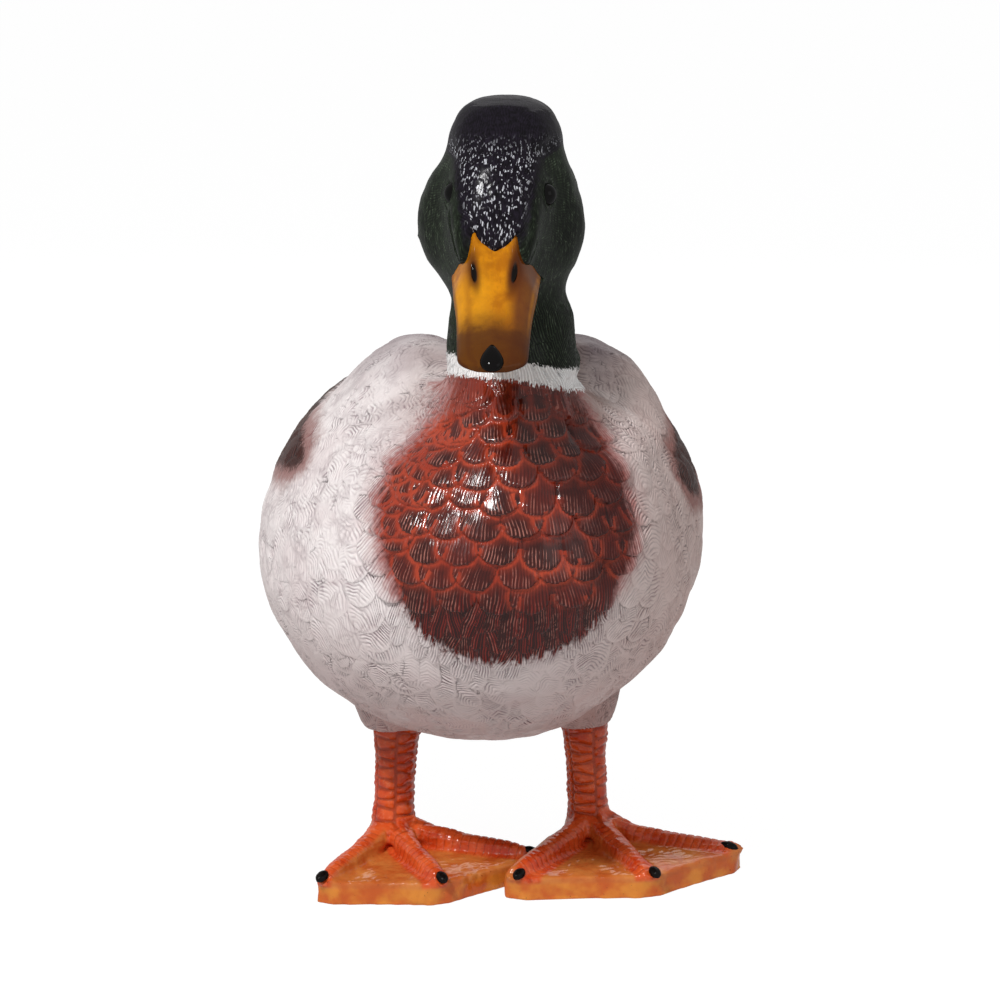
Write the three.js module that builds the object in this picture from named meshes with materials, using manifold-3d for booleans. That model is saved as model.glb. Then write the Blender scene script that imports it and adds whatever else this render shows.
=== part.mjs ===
// A mallard drake, standing: a life-size ornament cast in resin and painted, with set-in eyes.
// Millimetres, +Z up. The duck faces -Y and its left side is +X. The origin is on the ground,
// under the middle of the figure's bounding box.
//
// Trunk, neck and head are one long form, a row of cross-sections from the tail to the bill,
// parted by thin plane cuts into the pieces that a person would name. Wings, tail, legs and
// bill are laid against that form and cut back from it.
import * as THREE from "three";
import { mergeVertices } from "three/addons/utils/BufferGeometryUtils.js";
import Module from "manifold-3d";

const wasm = await Module();
wasm.setup();

// ---- Driving dimensions -------------------------------------------------------------------

const GAP = 0.3; // the parting cut between two neighbouring pieces

const TRUNK = { front: -150, rear: 165, belly: 66, back: 232, half: 95 };
const HEAD = { chin: 268, crown: 343, brow: -132, nape: -48, half: 24 };
const NECK = { y: -83, collar: 229, half: 28, waist: 25, lean: 6, headLean: 3, turn: 10 };
const BILL = { y: -119, z: 274, length: 66, slope: 27, half: 17.8, tipHalf: 13, height: 21 };
const EYE = { radius: 4.2, at: [20, -111, 306], sink: 2.4 };
const NAIL = { share: 0.91, half: 5.3, halfLength: 6.6, halfHeight: 3.8, rise: 2 };
const WING = { thickness: 4, sink: 6, frontShift: -0.012, rearShift: 0.02 };
const PRIMARY = { half: 13, tipHalf: 3.5, halfThickness: 2.6, tip: [19, 178, 188] };
const TAIL = { root: 138, tip: 222, z: 171, lift: 13, rootHalf: 26, half: 43, droop: 9 };
const FEATHER = { count: 9, scallop: 5, halfThickness: 3, tipHalfThickness: 1.3 };
const CURL = { y: 168, z: 180, radius: 9, turn: 300, half: 2.4, tipHalf: 1.5, spread: 6.5 };
const LEG = { spread: 91, x: 5, y: -12, hips: 84, top: 86 };
const SHANK = { radius: 8.6, ankle: 10.5, hip: 12, depth: 1.08, low: 2 };
const FOOT = { turn: 16, spread: 49, slab: 8.5, ankle: 21, heel: 9, webInset: 0.88 };
const TOE = { outer: 62, middle: 61, inner: 65, radius: 4.6 };
const CLAW = { radius: 2.6, length: 8, dip: 0.35, rise: 2 };
const HIND = { reach: 24, z: 3.6, root: 6, tip: 4 }; // the small toe at the back of the foot
const FAR = 200; // half the side of a cutting block, past the whole figure

// ---- Small helpers ------------------------------------------------------------------------

const { degToRad: rad, radToDeg: deg, lerp, clamp, smoothstep } = THREE.MathUtils;
const vec = (x, y, z) => new THREE.Vector3(x, y, z);
const UP = vec(0, 0, 1);
const sides = [
  ["left", 1],
  ["right", -1],
];

/** A closed geometry as a solid that can be cut and joined. */
function solid(geometry) {
  const bare = geometry.clone().deleteAttribute("normal").deleteAttribute("uv");
  const merged = mergeVertices(bare, 1e-4);
  return new wasm.Manifold(
    new wasm.Mesh({
      numProp: 3,
      vertProperties: merged.attributes.position.array,
      triVerts: new Uint32Array(merged.index.array),
    }),
  );
}

/** The same solid as a geometry that three.js can draw. */
function geometryOf(cut) {
  const mesh = cut.getMesh();
  const made = new THREE.BufferGeometry();
  made.setAttribute("position", new THREE.BufferAttribute(mesh.vertProperties, 3));
  made.setIndex(new THREE.BufferAttribute(mesh.triVerts, 1));
  return made;
}

/** Moves each vertex of a geometry to place(point), a Vector3. */
function reshape(geometry, place) {
  const at = geometry.attributes.position;
  for (let i = 0; i < at.count; i++) {
    const p = place(vec(at.getX(i), at.getY(i), at.getZ(i)));
    at.setXYZ(i, p.x, p.y, p.z);
  }
  return geometry;
}

/** A value at t, from 0 to 1, on a smooth curve through evenly spaced values. */
function smooth(values, t) {
  const last = values.length - 1;
  const i = clamp(Math.floor(t * last), 0, last - 1);
  const f = t * last - i;
  const [a, b, c, d] = [-1, 0, 1, 2].map((k) => values[clamp(i + k, 0, last)]);
  return b + (f * (c - a + f * (2 * a - 5 * b + 4 * c - d + f * (3 * (b - c) + d - a)))) / 2;
}

/**
 * A closed limb along a curve. size(t) gives its half width and half height; the height is
 * measured along the up direction that it is given.
 */
function limb(curve, size, { rows = 8, around = 12, up = UP } = {}) {
  return reshape(new THREE.CylinderGeometry(1, 1, 1, around, rows), (unit) => {
    const t = unit.y + 0.5;
    const along = curve.getTangent(t);
    const side = vec(0, 0, 0).crossVectors(along, up).normalize();
    const high = vec(0, 0, 0).crossVectors(side, along);
    const [half, rise] = size(t);
    return curve
      .getPoint(t)
      .addScaledVector(side, unit.x * half)
      .addScaledVector(high, unit.z * rise);
  });
}

// ---- A form made of cross-sections ---------------------------------------------------------

/**
 * A long form through stations. Each station has a back point and a belly point in the YZ plane,
 * a half width, where between belly and back it is widest, how much narrower it gets towards
 * the back (pear), and how square its upper half is (2 is an ellipse).
 */
class Form {
  constructor(stations, finish) {
    this.stations = stations;
    this.finish = finish;
  }

  /** Where the named station lies along the form, from 0 to 1. */
  at(name) {
    return this.stations.findIndex((s) => s.name === name) / (this.stations.length - 1);
  }

  read(key, t) {
    const values = this.stations.map((s) => s[key]);
    return smooth(values, t);
  }

  /** The surface point at t along and an angle around: 0 is the left side and 90 the back. */
  point(t, degrees, grow = 0, share = 1) {
    const [bellyY, bellyZ] = [this.read("bellyY", t), this.read("bellyZ", t)];
    const span = [this.read("backY", t) - bellyY, this.read("backZ", t) - bellyZ];
    const depth = Math.hypot(...span);
    const widest = this.read("widest", t);
    const c = Math.cos(rad(degrees));
    const s = Math.sin(rad(degrees));
    const power = s > 0 ? 2 / this.read("square", t) : 1;
    const reach = (s > 0 ? 1 - widest : widest) * depth + grow;
    const rise = widest + (Math.sign(s) * Math.abs(s) ** power * reach * share) / depth;
    const half = (this.read("half", t) + grow) * (1 - this.read("pear", t) * s);
    const x = Math.sign(c) * Math.abs(c) ** power * half * share;
    return this.finish(vec(x, bellyY + span[0] * rise, bellyZ + span[1] * rise), t);
  }

  /** The outward direction at a surface point. */
  normal(t, degrees) {
    const along = this.point(t + 0.004, degrees).sub(this.point(t - 0.004, degrees));
    const round = this.point(t, degrees + 2).sub(this.point(t, degrees - 2));
    return round.cross(along).normalize();
  }

  /** A point of the surface lifted off it. */
  above(t, degrees, lift) {
    return this.point(t, degrees).addScaledVector(this.normal(t, degrees), lift);
  }

  /** The place and the angle, from a start on, where the surface is nearest to a point. */
  nearest(target, from) {
    let best = { gap: Infinity };
    for (let t = from; t <= 1; t += 0.002) {
      for (let around = -60; around < 240; around += 2) {
        const gap = this.point(t, around).distanceTo(target);
        best = gap < best.gap ? { gap, t, around } : best;
      }
    }
    return [best.t, best.around];
  }

  /** The closed solid between two places along the form, with a flat face at each end. */
  stretch({ from, to, rows, around }, grow = 0) {
    const length = (t) => this.point(t, 0).distanceTo(this.point(t + 0.01, 0)) / 0.01;
    const [low, high] = [this.at(from), this.at(to)];
    const trim = (t) => (grow > 0 ? -grow : t > 0 && t < 1 ? GAP / 2 : 0) / length(t);
    const start = low + trim(low);
    const end = high - trim(high);
    return reshape(new THREE.CylinderGeometry(1, 1, 1, around, rows), (unit) => {
      const t = lerp(start, end, unit.y + 0.5);
      return this.point(t, deg(Math.atan2(unit.x, unit.z)), grow, Math.hypot(unit.x, unit.z));
    });
  }
}

/** One station, from its profile points and sizes. */
function station(name, back, belly, half, { widest = 0.5, pear = 0, square = 2 } = {}) {
  const [backY, backZ] = back;
  const [bellyY, bellyZ] = belly;
  return { name, backY, backZ, bellyY, bellyZ, half, widest, pear, square };
}

// ---- Trunk, neck and head ------------------------------------------------------------------

const inTrunk = (y, z) => [lerp(TRUNK.front, TRUNK.rear, y), lerp(TRUNK.belly, TRUNK.back, z)];
const inHead = (y, z) => [lerp(HEAD.brow, HEAD.nape, y), lerp(HEAD.chin, HEAD.crown, z)];
const inNeck = (y, z) => [NECK.y + y, NECK.collar + z];
const wide = (share) => share * TRUNK.half;

const bodyStations = [
  station("tail_root", inTrunk(1.0, 0.68), inTrunk(0.98, 0.53), wide(0.24)),
  station("vent", inTrunk(0.93, 0.745), inTrunk(0.91, 0.37), wide(0.42)),
  station("rump", inTrunk(0.83, 0.82), inTrunk(0.81, 0.21), wide(0.62)),
  station("hips", inTrunk(0.69, 0.91), inTrunk(0.67, 0.08), wide(0.83)),
  station("loin", inTrunk(0.54, 0.97), inTrunk(0.53, 0.02), wide(0.96)),
  station("waist", inTrunk(0.43, 1.0), inTrunk(0.39, 0.0), wide(1)),
  station("shoulder", inTrunk(0.36, 1.0), inTrunk(0.24, 0.04), wide(0.95)),
  station("breast", inTrunk(0.33, 0.992), inTrunk(0.1, 0.19), wide(0.82)),
  station("crop", inTrunk(0.322, 0.986), inTrunk(0.015, 0.46), wide(0.64)),
  station("neck_base", inTrunk(0.317, 0.982), inTrunk(0.04, 0.76), wide(0.46)),
  station("collar", inNeck(31, -4), inNeck(-34, 5), NECK.half + 1),
  station("nape", inNeck(29, 5), inNeck(-30, 13.5), NECK.half - 1.5),
  station("throat", inNeck(27, 21), inNeck(-28, 27), NECK.waist),
  station("cheek_base", inHead(0.94, 0.06), inHead(0.2, -0.07), 0.98 * HEAD.half),
  station("cheek", inHead(1.0, 0.34), inHead(0.14, -0.04), 1.02 * HEAD.half),
  station("ear", inHead(0.94, 0.71), inHead(0.1, -0.02), 1.04 * HEAD.half),
  station("crown", inHead(0.68, 0.97), inHead(0.06, 0.0), 0.96 * HEAD.half, { square: 2.2 }),
  station("forecrown", inHead(0.35, 0.95), inHead(0.03, 0.02), 0.8 * HEAD.half, { square: 2.1 }),
  station("brow", inHead(0.13, 0.7), inHead(0.02, 0.03), 0.72 * HEAD.half),
  station("lore", inHead(0.02, 0.43), inHead(0.0, 0.05), 0.62 * HEAD.half),
  station("face", inHead(-0.02, 0.26), inHead(-0.03, 0.08), 0.5 * HEAD.half),
];

// Swellings on the form: a centre, a reach and how far the sides are pushed out there.
const swells = [
  { centre: vec(22, -82, 285), reach: 30, lift: 10 }, // cheek
  { centre: vec(42, -12, 78), reach: 40, lift: 3 }, // thigh
];

/** Swells the form on both sides, then turns and leans head and neck. */
function finishBody(p, t) {
  for (const { centre, reach, lift } of swells) {
    const away = vec(Math.abs(p.x), p.y, p.z).distanceTo(centre) / reach;
    p.x += Math.sign(p.x) * lift * Math.max(0, 1 - away ** 2) ** 2;
  }
  const turn = -rad(NECK.turn) * smoothstep(t, body.at("collar"), body.at("cheek_base"));
  const axis = vec(0, NECK.y, 0);
  p.sub(axis).applyAxisAngle(UP, turn).add(axis);
  p.x += NECK.lean * smoothstep(t, body.at("breast"), body.at("collar"));
  p.x += (NECK.headLean - NECK.lean) * smoothstep(t, body.at("collar"), body.at("cheek"));
  return p;
}

/** Carries a point of the straight head to the turned and leaning one. */
const onHead = (p) => finishBody(p, 1);

const body = new Form(bodyStations, finishBody);

const bodyPieces = [
  { name: "rump", from: "tail_root", to: "rump", rows: 4, around: 26, colour: "tailBlack" },
  { name: "trunk", from: "rump", to: "shoulder", rows: 9, around: 32, colour: "flank" },
  { name: "breast", from: "shoulder", to: "collar", rows: 10, around: 32, colour: "breast" },
  { name: "collar", from: "collar", to: "nape", rows: 2, around: 28, colour: "collar" },
  { name: "neck", from: "nape", to: "cheek_base", rows: 4, around: 28, colour: "head" },
  { name: "head", from: "cheek_base", to: "face", rows: 14, around: 26, colour: "head" },
];

/** The named pieces of the body in one solid, grown by a gap: what others are cut back from. */
const bodyAround = (...names) =>
  bodyPieces
    .filter(({ name }) => names.includes(name))
    .map((piece) => solid(body.stretch(piece, GAP)))
    .reduce((all, piece) => all.add(piece));

// ---- Bill ------------------------------------------------------------------------------------

/** A point of the bill: u along it from its base, x across it, v above the line of the gape. */
function onBill(u, x, v) {
  const s = rad(BILL.slope);
  const y = BILL.y - u * Math.cos(s) - v * Math.sin(s);
  return onHead(vec(x, y, BILL.z - u * Math.sin(s) + v * Math.cos(s)));
}

const billHalf = (t) => lerp(BILL.half, BILL.tipHalf, t) * (1 - clamp((t - 0.86) / 0.17, 0, 1) ** 3);
const upperHeight = (t) => BILL.height * smooth([1, 0.72, 0.5, 0.37, 0.3, 0.26, 0.16], t);
const lowerDepth = (t) => smooth([8, 7, 5.5, 4.6, 4, 3, 1.5], t);

/** Half of the bill, with a flat face on the gape and a vault away from it. */
function mandible(start, end, half, vault, sign) {
  return reshape(new THREE.CylinderGeometry(1, 1, 1, 18, 8), (unit) => {
    const t = lerp(start, end, Math.sin(((unit.y + 0.5) * Math.PI) / 2));
    const v = unit.z * sign > 0 ? Math.abs(unit.z) * vault(t) : 0;
    return onBill(t * BILL.length, -unit.x * half(t), (v + GAP / 2) * sign);
  });
}

// ---- Wings, tail and curls -------------------------------------------------------------------

const wingAlong = (u) =>
  lerp(body.at("shoulder") + WING.frontShift, body.at("vent") + WING.rearShift, u);
const wingLow = (u) => smooth([36, 14, 5, 5, 13, 28, 48], u);
const wingHigh = (u) => smooth([42, 66, 76, 80, 82, 82, 78], u);

/** A folded wing: a plate laid on the form, rounded in front and drawn out behind. */
function wingPlate(side, grow = 0) {
  return reshape(new THREE.SphereGeometry(1, 16, 9), (unit) => {
    const u = (1 - unit.y) / 2;
    const girth = Math.hypot(unit.x, unit.z) || 1;
    const across = (unit.x / girth + 1) / 2;
    const angle = lerp(wingLow(u), wingHigh(u), across);
    const edge = Math.abs(unit.z / girth) ** 0.5 * Math.min(1, girth * 2);
    const lift = unit.z * side > 0 ? (WING.thickness + grow) * edge : -(WING.sink + grow) * edge;
    const p = body.above(wingAlong(u), angle, lift);
    return vec(p.x * side, p.y, p.z);
  });
}

/** The long flight feathers that reach past the wing, over the rump. */
function primaryBlade(side) {
  const path = [
    body.above(body.at("rump"), 64, -1),
    body.above(body.at("vent"), 58, 3.5),
    vec(...PRIMARY.tip),
  ];
  const curve = new THREE.CatmullRomCurve3(path.map((p) => vec(p.x * side, p.y, p.z)));
  const size = (t) => [lerp(PRIMARY.half, PRIMARY.tipHalf, t ** 1.5), PRIMARY.halfThickness];
  return limb(curve, size, { rows: 6, around: 8, up: vec(0.55 * side, 0, 0.83) });
}

/** The fan of tail feathers, scalloped at its end and drooping to the sides. */
function tailFan(grow = 0) {
  return reshape(new THREE.CylinderGeometry(1, 1, 1, 32, 2), (unit) => {
    const t = unit.y + 0.5;
    const v = unit.x;
    const scallop = Math.abs(Math.sin((v * FEATHER.count * Math.PI) / 2)) * FEATHER.scallop;
    const reach = (1 - 0.32 * v * v) * (TAIL.tip - TAIL.root) - scallop * t;
    const half = lerp(TAIL.rootHalf, TAIL.half, smoothstep(t, 0, 0.85));
    const thick = lerp(FEATHER.halfThickness, FEATHER.tipHalfThickness, t) + grow;
    const z = TAIL.z + TAIL.lift * t - TAIL.droop * v * v + unit.z * thick;
    return vec(v * half, TAIL.root + reach * t, z);
  });
}

/** One of the two curled feathers above the tail. */
function curledFeather(side) {
  const { y, z, radius, spread } = CURL;
  const points = Array.from({ length: 8 }, (_, i) => {
    const a = rad((i / 7) * CURL.turn);
    const r = radius * (1 - 0.06 * i);
    return vec(side * spread, y + r * Math.sin(a), z + radius - r * Math.cos(a));
  });
  points.unshift(vec((side * spread) / 2, y - 22, z - 5));
  const curve = new THREE.CatmullRomCurve3(points);
  const size = (t) => [lerp(CURL.half, CURL.tipHalf, t), lerp(5, 2.5, t)];
  return limb(curve, size, { rows: 13, around: 6, up: vec(1, 0, 0) });
}

// ---- Legs and feet ----------------------------------------------------------------------------

const footAt = (side) => vec(LEG.x + (side * LEG.spread) / 2, LEG.y, 0);

/** The three front toes of a foot, from the one that points most to the left: length, heading. */
const toes = (side) => {
  const names = side > 0 ? ["outer", "middle", "inner"] : ["inner", "middle", "outer"];
  return names.map((name, k) => ({
    name,
    length: TOE[name],
    heading: -90 + FOOT.turn + (1 - k) * FOOT.spread,
  }));
};

/** A point of a foot: how far out from the leg's axis, at a heading, and how high. */
function onFoot(side, reach, heading, z) {
  const flat = vec(reach * Math.cos(rad(heading)), reach * Math.sin(rad(heading)), z);
  return flat.add(footAt(side));
}

/** The web: a slab with upright sides, drawn in between the toes. */
function webSlab(side) {
  const outline = new THREE.Shape();
  const spot = (reach, heading) => {
    const p = onFoot(side, reach, heading, 0);
    return [p.x, p.y];
  };
  const [left, middle, right] = toes(side);
  const tip = (toe, swing) => spot(toe.length - 2, toe.heading + swing);
  const inset = (a, b) =>
    spot((FOOT.webInset * (a.length + b.length)) / 2, (a.heading + b.heading) / 2);
  outline.moveTo(...spot(FOOT.heel, middle.heading + 180));
  outline.lineTo(...spot(FOOT.heel, middle.heading + 118));
  outline.lineTo(...tip(left, 4));
  outline.lineTo(...tip(left, -4));
  outline.quadraticCurveTo(...inset(left, middle), ...tip(middle, 4));
  outline.lineTo(...tip(middle, -4));
  outline.quadraticCurveTo(...inset(middle, right), ...tip(right, 4));
  outline.lineTo(...tip(right, -4));
  outline.lineTo(...spot(FOOT.heel, middle.heading - 118));
  const slab = { depth: FOOT.slab, bevelEnabled: false, curveSegments: 4 };
  return new THREE.ExtrudeGeometry(outline, slab);
}

/** A toe lying on the web, from the ankle to its rounded end. */
function toeRidge(side, { length, heading }) {
  const curve = new THREE.CatmullRomCurve3([
    onFoot(side, 0, heading, FOOT.slab + 10),
    onFoot(side, length * 0.3, heading, FOOT.slab + 4),
    onFoot(side, length * 0.65, heading, FOOT.slab + 1.5),
    onFoot(side, length, heading, FOOT.slab + 0.5),
  ]);
  const end = (t) => Math.sqrt(1 - clamp((t - 0.93) / 0.085, 0, 1) ** 2);
  const radius = (t) => lerp(TOE.radius * 1.35, TOE.radius, t) * end(t);
  return limb(curve, (t) => [radius(t), radius(t)], { rows: 6, around: 7 });
}

/** The small hind toe, reaching back and down to the ground. */
function hindToe(side) {
  const heading = 90 + FOOT.turn;
  const curve = new THREE.QuadraticBezierCurve3(
    onFoot(side, 3, heading, FOOT.slab + 8),
    onFoot(side, 15, heading, FOOT.slab + 5),
    onFoot(side, HIND.reach - 3, heading, HIND.z + 0.8),
  );
  const radius = (t) => lerp(HIND.root, HIND.tip, t);
  return limb(curve, (t) => [radius(t), radius(t)], { rows: 4, around: 8 });
}

/** A claw, on a toe's end and pointing along its heading. */
function claw(side, reach, heading, z, grow = 0) {
  const out = onFoot(0, 1, heading, 0).sub(footAt(0)).setZ(-CLAW.dip).normalize();
  const centre = onFoot(side, reach, heading, z);
  const half = CLAW.length / 2;
  const curve = new THREE.LineCurve3(
    centre.clone().addScaledVector(out, -half - grow),
    centre.clone().addScaledVector(out, half + grow),
  );
  const size = (t) => (CLAW.radius + grow) * Math.sqrt(Math.max(0.02, 1 - (2 * t - 1) ** 2));
  return limb(curve, (t) => [size(t), size(t)], { rows: 4, around: 6 });
}

const claws = (side) => [
  ...toes(side).map(({ name, length, heading }) => ({
    name,
    at: [side, length - 0.5, heading, FOOT.slab + CLAW.rise],
  })),
  { name: "hind", at: [side, HIND.reach, 90 + FOOT.turn, HIND.z] },
];

/** The upright leg, from the ankle up into the belly. */
function legColumn(side) {
  const foot = footAt(side);
  const curve = new THREE.LineCurve3(
    vec(foot.x, foot.y, SHANK.low),
    vec(LEG.x + (side * LEG.hips) / 2, foot.y, LEG.top),
  );
  const radius = (t) => {
    const ankle = 1 - smoothstep(t, 0.04, 0.34);
    const hip = smoothstep(t, 0.5, 0.9);
    const { radius: slim } = SHANK;
    return slim + (SHANK.ankle - slim) * ankle + (SHANK.hip - slim) * hip;
  };
  const size = (t) => [radius(t), radius(t) * SHANK.depth];
  return limb(curve, size, { rows: 7, around: 14, up: vec(0, -1, 0) });
}

// ---- Materials ---------------------------------------------------------------------------------

const paint = Object.fromEntries(
  Object.entries({
    flank: ["#d9cccb", 0.45],
    breast: ["#7a2e26", 0.3],
    collar: ["#e6e2df", 0.45],
    head: ["#26332a", 0.35],
    tailBlack: ["#1d1a1c", 0.35],
    wing: ["#6b5a55", 0.45],
    primary: ["#4d403c", 0.45],
    tail: ["#cfc4c1", 0.45],
    bill: ["#b9770f", 0.15],
    nail: ["#100d0c", 0.2],
    eye: ["#0c0806", 0.05],
    leg: ["#b9461f", 0.25],
    foot: ["#c4661f", 0.25],
    claw: ["#141214", 0.3],
  }).map(([name, [color, roughness]]) => [
    name,
    new THREE.MeshStandardMaterial({ name, color, roughness, metalness: 0 }),
  ]),
);

// ---- Assembly -----------------------------------------------------------------------------------

const duck = new THREE.Group();
duck.name = "mallard";

function add(name, piece, material) {
  const geometry = piece.isBufferGeometry ? piece : geometryOf(piece);
  const mesh = new THREE.Mesh(geometry, paint[material]);
  mesh.name = name;
  duck.add(mesh);
}

const trunkAround = bodyAround("rump", "trunk", "breast");
const headAround = bodyAround("neck", "head");

// Eyes, and the head that they are set into.
let head = null;
const eyes = sides.map(([side, sign]) => {
  const [x, y, z] = EYE.at;
  const [t, around] = body.nearest(onHead(vec(x * sign, y, z)), body.at("ear"));
  const centre = body.above(t, around, -EYE.sink);
  const bead = (grow) => {
    const ball = new THREE.SphereGeometry(EYE.radius + grow, 12, 7);
    return solid(ball.translate(centre.x, centre.y, centre.z));
  };
  return { side, bead };
});

for (const piece of bodyPieces) {
  if (piece.name === "head") {
    head = solid(body.stretch(piece));
  } else {
    add(piece.name, body.stretch(piece), piece.colour);
  }
}

// Bill: two mandibles and the nail at the tip of the upper one.
const nailBean = (grow) => {
  const bean = new THREE.SphereGeometry(1, 10, 6);
  return solid(
    reshape(bean, ({ x, y, z }) => {
      const u = BILL.length * NAIL.share + (NAIL.halfLength + grow) * y;
      return onBill(u, (NAIL.half + grow) * -x, NAIL.rise + (NAIL.halfHeight + grow) * z);
    }),
  );
};
const upper = solid(mandible(-0.05, 1, billHalf, upperHeight, 1));
const lowerHalf = (t) => billHalf(Math.min(1, t * 1.03)) - 2;
const lower = solid(mandible(-0.05, 0.93, lowerHalf, lowerDepth, -1));
for (const { side, bead } of eyes) {
  add(`eye_${side}`, bead(0), "eye");
  head = head.subtract(bead(GAP));
}
add("head", head, "head");
add("bill_upper", upper.subtract(nailBean(GAP)).subtract(headAround), "bill");
add("bill_lower", lower.subtract(nailBean(GAP)).subtract(headAround), "bill");
add("bill_nail", nailBean(0).subtract(headAround), "nail");

// Wings, with the flight feathers behind them, and the tail.
const tail = solid(tailFan()).subtract(trunkAround);
add("tail", tail, "tail");
const tailAround = solid(tailFan(GAP));
for (const [side, sign] of sides) {
  const wing = solid(wingPlate(sign)).subtract(trunkAround);
  const wingAround = solid(wingPlate(sign, GAP));
  const primaries = solid(primaryBlade(sign)).subtract(trunkAround).subtract(wingAround);
  add(`wing_${side}`, wing, "wing");
  add(`primaries_${side}`, primaries, "primary");
  const curl = solid(curledFeather(sign)).subtract(trunkAround).subtract(tailAround);
  add(`curl_${side}`, curl, "tailBlack");
}

// Legs, feet and claws. A leg is parted from its foot above the ankle, and soles are flat.
const block = (low, high) => {
  const box = new THREE.BoxGeometry(2 * FAR, 2 * FAR, high - low);
  return solid(box.translate(0, 0, (low + high) / 2));
};
for (const [side, sign] of sides) {
  const column = solid(legColumn(sign)).subtract(trunkAround);
  let foot = solid(webSlab(sign)).add(solid(hindToe(sign))).add(column);
  for (const toe of toes(sign)) {
    foot = foot.add(solid(toeRidge(sign, toe)));
  }
  foot = foot.intersect(block(0, FOOT.ankle));
  for (const { name, at } of claws(sign)) {
    add(`claw_${side}_${name}`, solid(claw(...at)).intersect(block(0, FAR)), "claw");
    foot = foot.subtract(solid(claw(...at, GAP)));
  }
  add(`leg_${side}`, column.intersect(block(FOOT.ankle + GAP, FAR)), "leg");
  add(`foot_${side}`, foot, "foot");
}

// The origin goes under the middle of the figure.
const box = new THREE.Box3().setFromObject(duck);
const middle = box.getCenter(vec(0, 0, 0)).setZ(box.min.z);
duck.children.forEach((mesh) => mesh.geometry.translate(-middle.x, -middle.y, -middle.z));

export default duck;
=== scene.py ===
"""A mallard drake, standing: a life-size ornament cast in resin and painted by hand.

The solids give every size and place. Here one skin with its feathers cut in relief takes the
place of the body's plain solids, and bill, eyes, tail, legs and feet get their own forms.
Sizes are in millimetres unless a name says otherwise; meshes are in metres.
"""

import sys
import logging
import math
from dataclasses import dataclass, replace
from enum import Enum
from typing import Callable, Iterable, Optional, Sequence, Union

import bmesh
import bpy
import numpy as np
from mathutils import Matrix, Vector
from mathutils.bvhtree import BVHTree
from mathutils.kdtree import KDTree


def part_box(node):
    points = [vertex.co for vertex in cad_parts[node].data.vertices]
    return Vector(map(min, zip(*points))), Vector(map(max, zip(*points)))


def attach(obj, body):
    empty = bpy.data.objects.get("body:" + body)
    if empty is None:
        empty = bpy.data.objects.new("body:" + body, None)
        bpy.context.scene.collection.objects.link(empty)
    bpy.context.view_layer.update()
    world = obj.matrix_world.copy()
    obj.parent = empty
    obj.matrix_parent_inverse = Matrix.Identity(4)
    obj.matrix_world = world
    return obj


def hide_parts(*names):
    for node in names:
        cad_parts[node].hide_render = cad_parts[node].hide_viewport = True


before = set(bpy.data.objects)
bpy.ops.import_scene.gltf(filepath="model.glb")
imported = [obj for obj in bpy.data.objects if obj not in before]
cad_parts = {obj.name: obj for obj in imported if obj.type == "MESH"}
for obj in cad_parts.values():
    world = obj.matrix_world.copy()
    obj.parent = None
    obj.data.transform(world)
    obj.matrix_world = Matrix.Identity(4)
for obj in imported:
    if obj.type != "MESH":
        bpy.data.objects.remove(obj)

log = logging.getLogger("mallard")
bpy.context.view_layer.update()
MM = 0.001
MERGE = 2e-5  # how near two points of a solid are one point, in metres
BODY = "root"
MIDDLE_X = -7.2  # the body's mid-plane
NECK_AXIS_Y = -104.85  # head and neck turn about an upright line here
Array = np.ndarray
Spot = tuple[float, float, float]


# ---- Small helpers ---------------------------------------------------------------------------


def linear(code: str) -> tuple[float, float, float, float]:
    """The linear colour of a #rrggbb code."""
    parts = (int(code[i : i + 2], 16) / 255 for i in (1, 3, 5))
    return (*(c / 12.92 if c <= 0.04045 else ((c + 0.055) / 1.055) ** 2.4 for c in parts), 1.0)


def ease(low: float, high: float, x: Array) -> Array:
    """A smooth step from 0 at low to 1 at high."""
    t = np.clip((x - low) / (high - low), 0.0, 1.0)
    return t * t * (3 - 2 * t)


def curve_at(values: Array, t: Array) -> Array:
    """Points at t, from 0 to 1, on a smooth curve through evenly spaced rows of values.

    Args:
        values: The rows, evenly spaced along the curve.
        t: How far along, from 0 to 1.

    Returns:
        One row for each t.
    """
    last = len(values) - 1
    i = np.clip(np.floor(t * last).astype(int), 0, last - 1)
    f = (t * last - i)[..., None]
    a, b, c, d = (values[np.clip(i + k, 0, last)] for k in (-1, 0, 1, 2))
    return b + f * (c - a + f * (2 * a - 5 * b + 4 * c - d + f * (3 * (b - c) + d - a))) / 2


def ripple(points: Array, size: float, seed: int) -> Array:
    """A smooth random field, about -1 to 1, whose swells have the given size.

    Args:
        points: The points, in mm.
        size: How wide a swell is, in mm.
        seed: Which random field it is.

    Returns:
        The field at each point.
    """
    rng = np.random.default_rng(seed)
    total = np.zeros(len(points))
    for _ in range(7):
        way = rng.normal(size=3)
        way *= rng.uniform(0.7, 1.4) * 2 * math.pi / (size * np.linalg.norm(way))
        total += np.sin(points @ way + rng.uniform(0, 2 * math.pi))
    return total / 3


def unit(vectors: Array) -> Array:
    """The same vectors with a length of 1."""
    return vectors / np.maximum(np.linalg.norm(vectors, axis=-1, keepdims=True), 1e-9)


def taken(
    items: bpy.types.bpy_prop_collection, key: str, width: int = 1, kind: type = np.float32
) -> Array:
    """What all items of a mesh say under one name.

    Args:
        items: The vertices, edges, faces, corners or stored values.
        key: The name.
        width: How many numbers each item gives.
        kind: The kind of number.

    Returns:
        One row of numbers for each item, or one number where the width is 1.
    """
    flat = np.empty(len(items) * width, kind)
    items.foreach_get(key, flat)
    return flat if width == 1 else flat.reshape(-1, width)


def read_points(mesh: bpy.types.Mesh) -> Array:
    """The mesh's vertices in mm."""
    return taken(mesh.vertices, "co", 3).astype(float) / MM


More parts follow.
